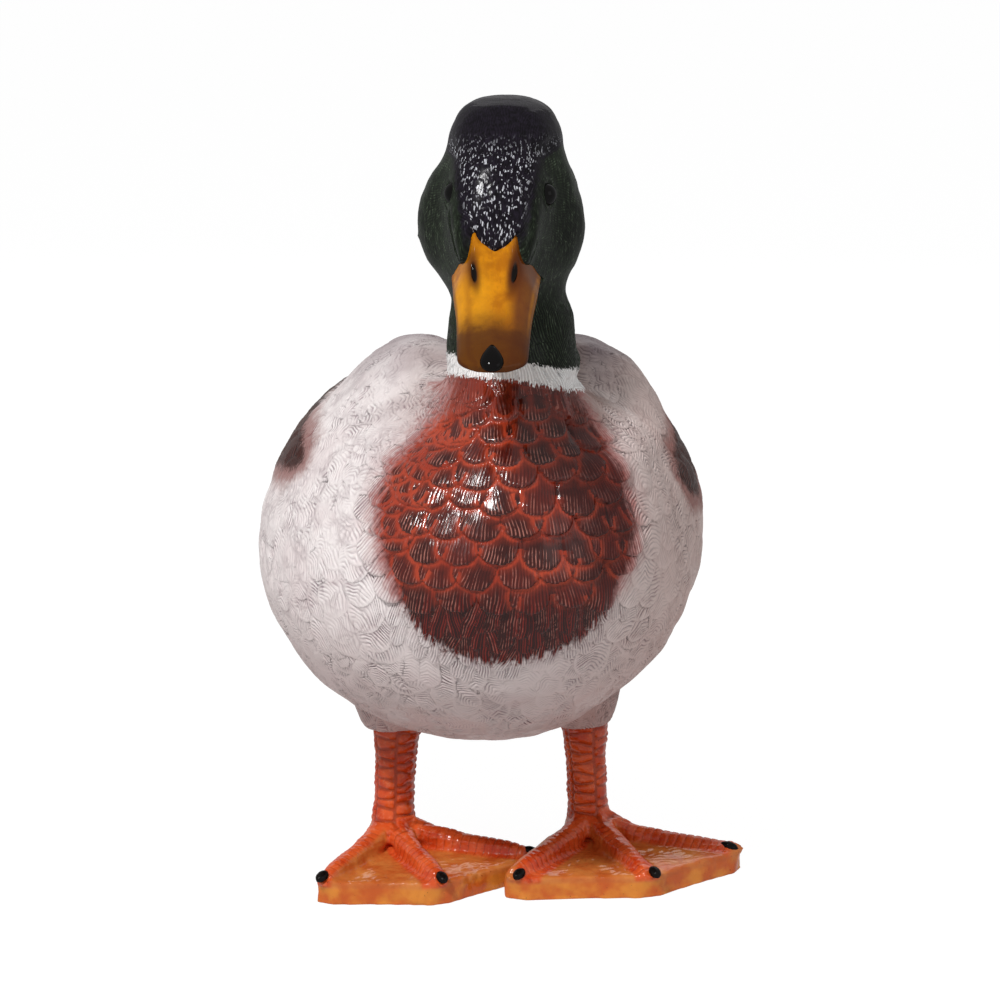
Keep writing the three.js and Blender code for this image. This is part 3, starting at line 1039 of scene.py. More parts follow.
def rows_of_feathers(way: Way) -> list[Feather]:
    """Lays staggered rows of feathers all over the figure, each region with its own sizes.

    Args:
        way: The grid of surface points.

    Returns:
        The feathers, from the bill to the tail.
    """
    side, s = np.tile(way.sides, way.ALONG), np.repeat(way.s, way.AROUND)
    region = region_of(way.points.reshape(-1, 3), s, side).reshape(way.ALONG, way.AROUND)
    row = np.array([r.value.row for r in REGIONS])[region]
    width = np.array([r.value.width for r in REGIONS])[region]
    steps = np.linalg.norm(np.diff(way.points, axis=0), axis=2)
    count = np.zeros((way.ALONG, way.AROUND))
    count[1:] = np.cumsum(steps / ((row[1:] + row[:-1]) / 2), axis=0)
    count += level_rows(way, count)
    rising = np.arange(way.ALONG, dtype=float)[:, None] * 1e-6
    rising = np.maximum.accumulate(count + rising, axis=0)
    rng = np.random.default_rng(7)
    feathers = under_layer(way, region)
    for k in range(1, int(count.max())):
        i, j = row_places(way, rising, width, k)
        if not len(i):
            continue
        flows = way.read(way.flow, i, j)
        kinds = region[np.round(i).astype(int), np.round(j).astype(int) % way.AROUND]
        for spot, flow, kind in zip(way.read(way.points, i, j), flows, kinds):
            cut = REGIONS[kind].value
            spot = spot + rng.uniform(-1, 1, 3) * cut.jitter * cut.width
            feather = laid(way, spot, flow, cut)
            stray = math.radians(rng.normal(0, cut.stray))
            aside = np.cross(feather.normal, feather.flow)
            flow = feather.flow * math.cos(stray) + aside * math.sin(stray)
            feathers.append(replace(feather, flow=flow))
    return feathers


# ---- Bill and eyes ---------------------------------------------------------------------------


SEAM = 2e-6  # how near the two sides of a tube's seam are, in metres


def lofted(
    name: str, around: int, along: int, shape: Callable[[Array, Array], Array]
) -> bpy.types.Object:
    """A closed tube with any course and cross-section.

    Args:
        name: The new object's name.
        around: How many faces go round it.
        along: How many faces go along it.
        shape: Gives the points in mm for the angles round it, and how far along, 0 to 1.

    Returns:
        The new object, with both ends closed.
    """
    held = bmesh.new()
    bmesh.ops.create_grid(held, x_segments=around, y_segments=along, size=0.5)
    flat = np.array([vertex.co for vertex in held.verts]) + 0.5
    for vertex, spot in zip(held.verts, shape(flat[:, 0] * 2 * math.pi, flat[:, 1]) * MM):
        vertex.co = spot
    bmesh.ops.remove_doubles(held, verts=held.verts, dist=SEAM)
    open_edges = [edge for edge in held.edges if edge.is_boundary]
    bmesh.ops.holes_fill(held, edges=open_edges, sides=0)
    bmesh.ops.recalc_face_normals(held, faces=held.faces)
    mesh = mesh_from(held, name)
    smooth_shaded(mesh)
    return link(mesh, name)


@dataclass
class Bill:
    """Upper and lower mandible and the nail, in the bill's own directions.

    A place on it is u along it from its base, x across it and v above the line of the gape.
    """

    length: float = 63.0
    slope: float = 27.0
    half: float = 17.5
    skew: float = 2.4  # how far the tip lies to the left of the bill's own line
    tip_half: float = 12.7
    height: float = 21.0
    root: tuple[float, float] = (-140.85, 274.0)  # y and z of the base on the gape
    lobe: float = 8.8  # how far the two lobes at the base lie from the middle
    nostril: tuple[float, float, float] = (7.8, 15.4, 4.6)  # x, u and half length
    nail: tuple[float, float, float] = (6.0, 4.8, 2.8)  # half length, half width and height

    def spot(self, u: Array, x: Array, v: Array) -> Array:
        """The places on the figure of places on the bill.

        Args:
            u: How far along the bill.
            x: How far across it.
            v: How far above the gape.

        Returns:
            The places on the figure, in mm.
        """
        slope = math.radians(self.slope)
        y = self.root[0] - u * math.cos(slope) - v * math.sin(slope)
        z = self.root[1] - u * math.sin(slope) + v * math.cos(slope)
        return turned_head(np.stack([x + self.skew * u / self.length, y, z], 1))

    def where(self, points: Array) -> tuple[Array, Array, Array]:
        """The places on the bill, u, x and v, of places on the figure.

        Args:
            points: Places on the figure.

        Returns:
            How far along, across and above the gape.
        """
        slope = math.radians(self.slope)
        x, y, z = straight_head(points).T
        y, z = y - self.root[0], z - self.root[1]
        u = -y * math.cos(slope) - z * math.sin(slope)
        v = -y * math.sin(slope) + z * math.cos(slope)
        return u, x - self.skew * u / self.length, v

    def half_at(self, t: Array) -> Array:
        """Half the bill's width.

        Args:
            t: How far along the bill, as a share of its length.

        Returns:
            Half the widths.
        """
        full = self.half + (self.tip_half - self.half) * t
        waist = 0.8 * np.exp(-(((t - 0.5) / 0.25) ** 2))
        behind = 1 + 2.2 * np.minimum(t, 0)
        return (full - waist) * behind * (1 - np.clip((t - 0.86) / 0.17, 0, 1) ** 3)

    def top_at(self, t: Array) -> Array:
        """How high the upper mandible stands above the gape."""
        shares = np.array([1, 0.72, 0.5, 0.37, 0.3, 0.26, 0.16])[:, None]
        return self.height * curve_at(shares, np.clip(t, 0, 1))[:, 0]

    def build(self) -> None:
        """Makes both mandibles and the nail."""
        upper = subdivided(lofted("bill_top", 120, 96, self.upper_shape), 1)
        lower = subdivided(lofted("bill_bottom", 64, 48, self.lower_shape), 1)
        nail = subdivided(lofted("bill_bean", 40, 28, self.nail_shape), 1)
        paint = BillGlaze().material()
        for piece, node in ((upper, "bill_upper"), (lower, "bill_lower")):
            u, x, v = self.where(read_points(piece.data))
            t = u / self.length
            across = x / np.maximum(self.half_at(np.clip(t, 0, 0.97)), 1)
            away = np.where(v > 2, self.nostril_away(u, x), 9.0)
            write_field(piece.data, "bill", np.stack([u, across, away], 1))
            place(piece, paint, "bill", (node,))
        place(nail, Enamel("black nail", "#0a0808").material(), "nail", ("bill_nail",))

    def nostril_away(self, u: Array, x: Array) -> Array:
        """How far places are from a nostril, where 1 is its edge."""
        ahead, (aside, _, half) = u - self.nostril[1], self.nostril
        return np.hypot(ahead / half, (np.abs(x) - aside + 0.12 * ahead) / 1.2)

    def upper_shape(self, angle: Array, along: Array) -> Array:
        """The upper mandible: two ridges from the lobes, a saddle between them, nostrils.

        Args:
            angle: The angles round it, in radians.
            along: How far along, 0 to 1.

        Returns:
            The points.
        """
        t = -0.16 + 1.16 * np.sin(along * math.pi / 2)
        u = t * self.length
        half = self.half_at(t)
        cos, sin = np.cos(angle), np.sin(angle)
        x = half * np.sign(cos) * np.abs(cos) ** 0.92
        top = self.top_at(t)
        boxy = 2.5 - 1.64 * ease(0.0, 0.3, t)  # the base's sides fall away, the rest is full
        v = np.where(sin > 0, np.abs(sin) ** boxy * top, -0.25 * np.abs(sin)) + 0.15
        back = ease(0.62, 0.05, t) * np.maximum(sin, 0)
        v += back * 2.4 * np.exp(-(((np.abs(x) - self.lobe) / 3.4) ** 2))
        ears = 3.6 * ease(0.24, 0.0, t) * np.maximum(sin, 0)
        v += ears * np.exp(-(((np.abs(x) - self.lobe) / 2.8) ** 2))
        v -= back * 1.5 * np.exp(-((x / 3.6) ** 2))
        v += 0.5 * ease(0.5, 0.75, t) * np.exp(-((x / 2.2) ** 2)) * np.maximum(sin, 0)
        v -= 1.5 * ease(1.25, 0.4, self.nostril_away(u, x)) * (v > 3)
        lip = np.exp(-(((np.abs(sin) - 0.12) / 0.12) ** 2)) * ease(0.1, 0.3, t)
        return self.spot(u, x * (1 + 0.018 * lip), v)

    def lower_shape(self, angle: Array, along: Array) -> Array:
        """The lower mandible, a shallow trough under the upper one.

        Args:
            angle: The angles round it, in radians.
            along: How far along, 0 to 1.

        Returns:
            The points.
        """
        t = -0.16 + 1.09 * np.sin(along * math.pi / 2)
        depth = curve_at(np.array([8, 7, 5.5, 4.6, 4, 3, 1.5])[:, None], np.clip(t, 0, 1))[:, 0]
        half = np.maximum(self.half_at(np.minimum(1, t * 1.03)) - 1.9, 0.6)
        v = np.where(np.sin(angle) < 0, np.sin(angle) * depth, 0) - 0.15
        return self.spot(t * self.length, half * np.cos(angle), v)

    def nail_shape(self, angle: Array, along: Array) -> Array:
        """The nail, a smooth drop that wraps over the tip.

        Args:
            angle: The angles round it, in radians.
            along: How far along, 0 to 1.

        Returns:
            The points.
        """
        long, wide, high = self.nail
        ring = np.sin(along * math.pi) ** 0.7
        run = -long * np.cos(along * math.pi)
        side = wide * ring * (0.3 + 0.7 * ease(0.0, 0.7, along)) * np.cos(angle)
        rise = high * ring * np.sin(angle)
        tilt = math.radians(14)
        u = self.length - 3.7 + run * math.cos(tilt) + rise * math.sin(tilt)
        return self.spot(u, side, 3.9 - run * math.sin(tilt) + rise * math.cos(tilt))

    def feather_edge(self, points: Array) -> Array:
        """How far outside the bill's bare base places are, in mm, seen from the front."""
        x, _, z = straight_head(points).T
        return -outline_distance(x, z, np.array(BILL_BASE))


BILL_BASE = [  # the edge of the feathers round the bill's base, x and z, seen from the front
    *((-19, 262), (-18, 271), (-15.6, 275.8), (-13.2, 281.4), (-12, 287.2), (-11.4, 292)),
    *((-9.3, 295.3), (-6.6, 293.6), (-3.2, 289.4), (0.4, 286.5), (3.8, 288.4), (7.6, 291.8)),
    *((10, 294), (11.6, 292), (12.3, 287), (13.4, 280.4), (15.4, 275.4), (18, 271), (19, 262)),
]


@dataclass
class Eyes:
    """Two glossy glass-like beads."""

    radius: float = 4.6
    left_move: Spot = (0.1, -1.0, 0.2)  # how far each lies from its solid's middle
    right_move: Spot = (1.3, -4.2, 0.7)

    def build(self) -> list[Array]:
        """Makes the beads.

        Returns:
            Their middles, in mm.
        """
        middles = []
        paint = Enamel("eye", "#020101", 0.2).material()
        for side, move in ((Side.LEFT, self.left_move), (Side.RIGHT, self.right_move)):
            node = f"eye_{side.word}"
            middle = np.mean(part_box(node), axis=0) + np.array(move) * MM
            held = bmesh.new()
            turn = Matrix.Translation(middle) @ Matrix.Rotation(math.pi / 2, 4, "Y")
            bmesh.ops.create_uvsphere(
                held, u_segments=48, v_segments=32, radius=self.radius * MM, matrix=turn
            )
            mesh = mesh_from(held, f"bead_{side.word}")
            smooth_shaded(mesh)
            place(link(mesh, mesh.name), paint, "eye", (node,))
            middles.append(middle / MM)
        return middles


# ---- The skin --------------------------------------------------------------------------------

BODY_OUTLINE = [  # height, how far the duck's right side moves, and its left side
    *((62, 0.4, -2.6), (74, -3.8, -3.4), (85, -2.1, -5.5), (96, -3.0, -4.3), (107, -1.5, -2.2)),
    *((118, -1.7, -2.5), (130, -1.3, -1.7), (140, -0.8, 0.0), (151, 0.0, 0.4), (162, 0.3, 1.5)),
    *((173, 1.6, 2.4), (184, 1.9, 3.0), (195, 1.4, 4.5), (206, 2.2, 8.0), (217, 1.6, 12.0)),
    *((228, 0.0, 13.0), (236, 0.0, 13.0)),
]
HEAD_OUTLINE = [  # height, how much wider than the solids, and how far aside
    *((226, 1.0, 0.0), (236, 1.0, 0.6), (243, 1.03, 1.2), (253, 1.03, 2.1), (257, 1.0, 2.3)),
    *((260, 0.95, 2.0), (264, 0.915, 1.0), (267, 0.92, 0.5), (271, 0.925, 0.1), (274, 0.955, -0.1)),
    *((281, 0.975, -0.4), (288, 1.01, -0.4), (295, 1.06, -0.6), (301, 1.13, -0.8)),
    *((305, 1.16, -0.7), (308, 1.195, -0.4), (312, 1.2, 0.1), (315, 1.165, 0.6), (319, 1.145, 1.2)),
    *((322, 1.15, 1.3), (325, 1.195, 1.4), (329, 1.265, 1.5), (332, 1.30, 1.5), (336, 1.42, 1.5)),
    (342, 1.6, 1.5),
]
FLESH = (
    *("rump", "trunk", "breast", "collar", "neck", "head"),
    *("wing_left", "wing_right"),
)
SKIN_VOXEL = 2.4
SKIN_LEVELS = 2
CHART_SIZE = 460.0  # how wide a view of the whole skin is on its unwrapped sheet, in mm


@dataclass
class Plumage:
    """The bird's skin with all its small feathers, in one unbroken surface."""

    bill: Bill
    eyes: list[Array]
    sink: float = 0.7  # how far the skin lies inside the solids before its feathers stand up
    shoulders: tuple[float, float] = (10.0, 7.6)  # how far the left and the right one rise
    neck_sides: tuple[float, float] = (9.5, 3.0)  # how far the neck's foot is drawn in there
    hips: tuple[tuple[float, float], ...] = ((-42.2, 20), (40.6, 24))  # each leg's x and reach
    hip_floor: float = 62.5  # how low the belly comes down round a leg
    legs_y: float = -34.0

    def build(self) -> None:
        """Makes the skin and its relief, and parts it into pieces."""
        nodes = (*FLESH[:6], "eye_left", "eye_right")
        coarse = remeshed(solid_copy(nodes, "skin", 0.25), SKIN_VOXEL)
        points = read_points(coarse.data)
        points = relaxed(coarse.data, points, 26, np.ones(len(points)))
        points = self.shape_head(self.shape_body(points))
        hips = np.hypot(np.abs(points[:, 0] + 2) - 41, points[:, 1] - self.legs_y)
        hips = ease(30, 22, hips) * ease(150, 130, points[:, 2])
        points = relaxed(coarse.data, points, 8, hips)
        write_points(coarse.data, points)
        way = Way(self.tree_of(coarse))
        for name, values in zip(("line_s", "line_side"), way.find(points)):
            write_field(coarse.data, name, values)
        skin = subdivided(coarse, SKIN_LEVELS)
        self.cut_relief(skin, way)
        self.part(skin)

    @staticmethod
    def tree_of(piece: bpy.types.Object) -> BVHTree:
        """A search tree over a piece's faces, in mm.

        Args:
            piece: The piece.

        Returns:
            The tree.
        """
        held = bmesh.new()
        held.from_mesh(piece.data)
        bmesh.ops.scale(held, vec=(1 / MM,) * 3, verts=held.verts)
        tree = BVHTree.FromBMesh(held)
        held.free()
        return tree

    def shape_body(self, points: Array) -> Array:
        """Gives the body its uneven outline, shoulders, a drawn-in neck and thighs.

        Args:
            points: The skin's points, in mm.

        Returns:
            The points in their new places.
        """
        heights, right, left = np.array(BODY_OUTLINE).T
        x, y, z = points[:, 0] - MIDDLE_X, points[:, 1], points[:, 2]
        front = ease(70, 10, y) * ease(241, 234, z)
        move = np.interp(z, heights, left) * ease(6, 58, x)
        move += np.interp(z, heights, right) * ease(-6, -58, x)
        moved = points.copy()
        moved[:, 0] += move * front
        free = ease(31, 58, np.hypot(x - NECK_LEAN, y - NECK_AXIS_Y)) * ease(200, 228, z)
        front = front * ease(-98, -62, y)
        moved[:, 2] += self.shoulders[0] * free * front * ease(10, 42, x) * ease(98, 66, x)
        moved[:, 2] += self.shoulders[1] * free * front * ease(-4, -30, x) * ease(-92, -46, x)
        beside = moved[:, 0] - MIDDLE_X - NECK_LEAN
        column = ease(196, 214, z) * ease(240, 230, z) * ease(-56, -72, y)
        pinch = ease(16, 32, np.abs(beside)) * ease(66, 44, np.abs(beside)) * column
        moved[:, 0] -= np.sign(beside) * np.where(beside > 0, *self.neck_sides) * pinch
        moved[:, 2] -= 2.0 * pinch
        for hip, reach in self.hips:
            away = np.hypot(points[:, 0] - hip, y - self.legs_y)
            share = ease(reach, reach - 8.5, away) * ease(132, 108, z)
            moved[:, 2] -= share * np.maximum(moved[:, 2] - self.hip_floor, 0)
        return moved

    @staticmethod
    def shape_head(points: Array) -> Array:
        """Gives head and neck their outline: a flat dome, full cheeks and an undercut neck.

        Args:
            points: The skin's points, in mm.

        Returns:
            The points in their new places.
        """
        local = straight_head(points)
        x, y, z = local.T
        heights, widths, shifts = np.array(HEAD_OUTLINE).T
        behind_face = np.maximum(ease(-135, -115, y), ease(322, 328, z))
        behind_face = np.maximum(behind_face, ease(276, 268, z))
        local[:, 0] = x * (1 + (np.interp(z, heights, widths) - 1) * behind_face)
        share = ease(226, 236, z) * np.where(z < 262, ease(-48, -66, y), 1)
        local[:, 0] += np.interp(z, heights, shifts) * share * behind_face
        local[:, 2] += 1.1 * ease(322, 341, z)
        return points + (turned_head(local) - points) * share[:, None]

    def meet_bill(self, points: Array) -> Array:
        """Sinks the skin under the bill's base and lets the feathers' edge lie over it.

        Args:
            points: The skin's points, in mm, which are changed.

        Returns:
            The same points.
        """
        near = np.nonzero((points[:, 1] < -132) & (points[:, 2] > 262) & (points[:, 2] < 300))[0]
        edge = self.bill.feather_edge(points[near])
        tree = self.tree_of(bpy.data.objects["bill_top"])
        for number, outside in zip(near, edge):
            hit, normal = tree.find_nearest(Vector(points[number]), 9.0)[:2]
            if hit is None:
                continue
            normal = np.array(normal)
            gap = (points[number] - np.array(hit)) @ normal
            if outside < 0 and gap > -1.2:
                points[number] -= normal * (gap + 1.2) * min(1.0, -outside / 0.8)
            elif outside >= 0 and -6 < gap < 0.5:
                points[number] += normal * (0.5 - gap) * min(1.0, outside / 0.6)
        return points

    def meet_eyes(self, points: Array) -> Array:
        """Sinks the skin under the eyes and raises a lid round each.

        Args:
            points: The skin's points, in mm, which are changed.

        Returns:
            The same points.
        """
        for middle in self.eyes:
            away = points - middle
            far = np.linalg.norm(away, axis=1)
            near = far < 8
            under = ease(5.2, 4.8, far[near])
            lid = 0.35 * np.exp(-(((far[near] - 6.0) / 0.7) ** 2))
            out = unit(middle - np.array([MIDDLE_X, middle[1] + 10, middle[2] - 8]))
            reach = far[near] + under * (3.4 - far[near])
            points[near] = middle + unit(away[near]) * reach[:, None] + lid[:, None] * out
        return points

    def cut_relief(self, skin: bpy.types.Object, way: Way) -> None:
        """Raises the feathers out of the skin and keeps what the paint needs to know.

        Args:
            skin: The whole skin.
            way: The grid of surface points that the rows follow.
        """
        mesh = skin.data
        points, normals = read_points(mesh), read_normals(mesh)
        for name in ("line_s", "line_side"):
            mesh.attributes.remove(mesh.attributes[name])
        relief = Relief(points, normals)
        feathers = rows_of_feathers(way)
        log.info("%d feathers over %d vertices", len(feathers), len(points))
        for number, item in enumerate(feathers):
            relief.press(number, item)
        rng = np.random.default_rng(11)
        tone = rng.uniform(0, 1, len(feathers))[relief.feather]
        phase, strength, height = self.grooves(points, relief, feathers, tone)
        wing, collar = wing_inside(points), collar_height(points)
        height += WING_LIFT * ease(-0.8, 2.0, wing) * ease(-30, 40, points[:, 1]) - self.sink
        height += 0.5 * ease(-1.2, 0.2, collar) * ease(COLLAR_TOP + 0.8, COLLAR_TOP - 0.4, collar)
        moved = self.meet_eyes(self.meet_bill(points + normals * height[:, None]))
        write_points(mesh, moved)
        write_field(mesh, "base", points)
        write_field(mesh, "feather", np.stack([phase, relief.rim, tone], 1))
        write_field(mesh, "row", np.stack([relief.under, relief.along, strength], 1))
        write_field(mesh, "zone", np.stack([breast_inside(points), collar, wing], 1))
        local = straight_head(points)
        crown = 12.5 + (local[:, 2] - 292) * 0.22 + 1.5 * np.maximum(local[:, 2] - 319, 0)
        write_field(mesh, "crown", crown - np.abs(local[:, 0]))

    @staticmethod
    def grooves(
        points: Array, relief: Relief, feathers: list[Feather], tone: Array
    ) -> tuple[Array, Array, Array]:
        """Cuts the barbs' grooves into the topmost feather at each vertex.

        Args:
            points: The vertices, in mm.
            relief: Which feather is on top at each, and where on it the vertex lies.
            feathers: All the feathers.
            tone: A random number for the feather at each vertex.

        Returns:
            The grooves' phase, how strong they are from 0 to 1, and the height in mm.
        """
        cuts = [(f.cut.barb, f.cut.groove, f.cut.slant, f.cut.step) for f in feathers]
        barb, groove, slant, step = np.array(cuts)[relief.feather].T
        length = np.array([f.length for f in feathers])[relief.feather]
        along, across = relief.along * length, relief.across
        with_shaft = slant > 9
        wobble = ripple(points, 14, 3) * 0.8 + ripple(points, 6, 4) * 0.3
        fan = across / (0.82 + 0.3 * (relief.along + 0.5))
        lean = along - slant * np.abs(across) * 0.6 - 0.012 * across**2
        phase = np.where(with_shaft, fan + 0.5 * wobble, lean + 1.3 * wobble) / barb + 7 * tone
        inside = ease(0, 1, relief.rim / np.where(with_shaft, 1.1, 2.6))
        height = relief.height - 0.3 * step * (1 - inside)
        patchy = 0.35 + 0.8 * ease(-0.9, 0.9, ripple(points, 26, 5))
        patchy *= 0.6 + 0.4 * ease(-0.7, 0.5, ripple(points, 7, 6))
        patchy = np.where(with_shaft & (groove < 0.5), 1.0, patchy)
        strength = patchy * inside
        height += groove * strength * (0.5 * np.cos(2 * np.pi * phase) - 0.5)
        return phase, strength, height

    def part(self, skin: bpy.types.Object) -> None:
        """Parts the skin into pieces of a handy size that keep the whole skin's shading.

        Args:
            skin: The whole skin, which is removed.
        """
        mesh = skin.data
        write_field(mesh, "whole", read_normals(mesh))
        normal = taken(mesh.polygons, "normal", 3)
        centre = taken(mesh.polygons, "center", 3) / MM
        start = taken(mesh.polygons, "loop_start", kind=np.int32)
        corner = taken(mesh.loops, "vertex_index", kind=np.int32)
        base = taken(mesh.attributes["base"].data, "vector", 3)[corner[start]]
        sides = np.array([(-1, 0, 0), (1, 0, 0), (0, -1, 0), (0, 1, 0), (0, 0, -1), (0, 0, 1)])
        sides = sides.astype(float).T
        chart = np.argmax(normal @ sides, axis=1)
        lobe = np.argmax(unit(base - np.array([MIDDLE_X, -10, 150])) @ sides, axis=1)
        number = lobe * 2 + (centre[:, 1] > -10)
        number[(base[:, 2] > 226) & (base[:, 1] < -70)] = 12  # the neck
        number[(base[:, 2] > 268) & (base[:, 1] < -60)] = 13  # the head
        for whole, left in ((4, 14), (7, 15)):  # the two largest are halved
            number[(number == whole) & (centre[:, 0] > MIDDLE_X)] = left
        for name, values in (("part", number), ("chart", chart)):
            mesh.attributes.new(name, "INT", "FACE").data.foreach_set("value", values)
        paint = PlumagePaint().material()
        nodes: Sequence[str] = FLESH
        for k in np.unique(number):
            piece = link(mesh.copy(), f"plumage_{k}")
            cut_out(piece, int(k))
            self.finish_piece(piece)
            place(piece, paint, "flank", nodes)
            nodes = ()
        bpy.data.objects.remove(skin)
        bpy.data.meshes.remove(mesh)

    @staticmethod
    def finish_piece(piece: bpy.types.Object) -> None:
        """Unwraps a piece by the skin's own shape and shades it as part of the whole.

        Args:
            piece: The piece.
        """
        mesh = piece.data
        whole = taken(mesh.attributes["whole"].data, "vector", 3)
        base = taken(mesh.attributes["base"].data, "vector", 3)
        chart = taken(mesh.attributes["chart"].data, "value", kind=np.int32)
        corner = taken(mesh.loops, "vertex_index", kind=np.int32)
        chart = np.repeat(chart, taken(mesh.polygons, "loop_total", kind=np.int32))
        spot = base[corner] + np.array([120, 220, 0], np.float32)
        uv = np.where((chart < 2)[:, None], spot[:, 1:], spot[:, ::2])
        uv = np.where((chart > 3)[:, None], spot[:, :2], uv) / CHART_SIZE
        uv = (uv + np.stack([chart % 3, chart // 3], 1)) / 3
        layer = mesh.uv_layers.new(name="OFBake")
        layer.data.foreach_set("uv", uv.astype(np.float32).ravel())
        for name in ("whole", "base", "chart", "part"):
            mesh.attributes.remove(mesh.attributes[name])
        smooth_shaded(mesh)
        mesh.normals_split_custom_set_from_vertices(whole.tolist())


def cut_out(piece: bpy.types.Object, number: int) -> None:
    """Keeps only the faces of a piece whose stored part number is the given one.

    Args:
        piece: The piece.
        number: The part's number.
    """
    group = bpy.data.node_groups.new("part", "GeometryNodeTree")
    for way in ("INPUT", "OUTPUT"):
        group.interface.new_socket("Geometry", in_out=way, socket_type="NodeSocketGeometry")
    start = group.nodes.new("NodeGroupInput")
    end = group.nodes.new("NodeGroupOutput")
    stored = group.nodes.new("GeometryNodeInputNamedAttribute")
    stored.data_type = "INT"
    stored.inputs["Name"].default_value = "part"
    same = group.nodes.new("FunctionNodeCompare")
    same.data_type, same.operation = "INT", "EQUAL"
    keep = group.nodes.new("GeometryNodeSeparateGeometry")
    keep.domain = "FACE"
    group.links.new(stored.outputs["Attribute"], same.inputs[2])
    same.inputs[3].default_value = number
    group.links.new(start.outputs[0], keep.inputs["Geometry"])
    group.links.new(same.outputs[0], keep.inputs["Selection"])
    group.links.new(keep.outputs["Selection"], end.inputs[0])
    maker = piece.modifiers.new("part", "NODES")
    maker.node_group = group
    finished(piece)
    bpy.data.node_groups.remove(group)


# ---- Finishes --------------------------------------------------------------------------------

Pair = tuple[str, str]


@dataclass(frozen=True)
class PlumageTints:
    """The plumage's colours. A pair is a face and its grooves, or the two ends of a cloud."""

    pale: Pair = ("#eadedd", "#f7f1ef")
    wash: str = "#8d7a82"
    under_rim: str = "#8f7d82"
    # painted highlight on the barbs' ridges
    ridge_highlight: str = "#fbf8f6"
    dash: str = "#6a5861"
    blush: str = "#d9c2c4"
    # painted shade: a warm, darker tint on the left flank, the side away from the lamp
    left_flank_shade: Pair = ("#c09b8f", "#7b5e57")
    # mauve paint on the belly, darkened further towards the bottom as painted shade
    belly: Pair = ("#946b65", "#5a3d3d")
    # the saddle's grey and the brownish tint at the neck's foot are paint; on the left shoulder
    # they also stand for painted shade
    saddle: Pair = ("#86757a", "#5d4f54")
    beside_neck: Pair = ("#93796f", "#5c4a45")
    wing: Pair = ("#33241f", "#54403a")
    wing_ridge: str = "#7a6058"
    wing_rim: str = "#a08a82"
    wing_front: Pair = ("#2a100f", "#4f2622")
    wing_halo: str = "#84483f"
    bar_white: str = "#e6deda"
    bar_black: str = "#14100f"
    bar_blue: Pair = ("#232a66", "#4a55b4")
    rump: Pair = ("#1b1e1f", "#0c0e0f")
    scale: Pair = ("#3a100c", "#5c1d16")
    scale_groove: str = "#34100d"
    glint: str = "#c07c6e"
    # painted shade on the breast's left side
    breast_shade: str = "#380a09"
    rim: Pair = ("#96301b", "#b4452a")
    fringe: Pair = ("#2e0907", "#781d14")
    hair: str = "#b47466"
    halo: Pair = ("#9c5650", "#5c2826")
    green: Pair = ("#0b0d09", "#2b3626")
    # painted sheen highlights on the green head's hairs
    green_sheen: str = "#747e6c"
    crown: Pair = ("#0a080b", "#241e2a")
    # painted highlights: white flecks on the crown
    fleck_highlight: str = "#d4d5dc"
    collar: Pair = ("#bdb5b3", "#fbfaf9")


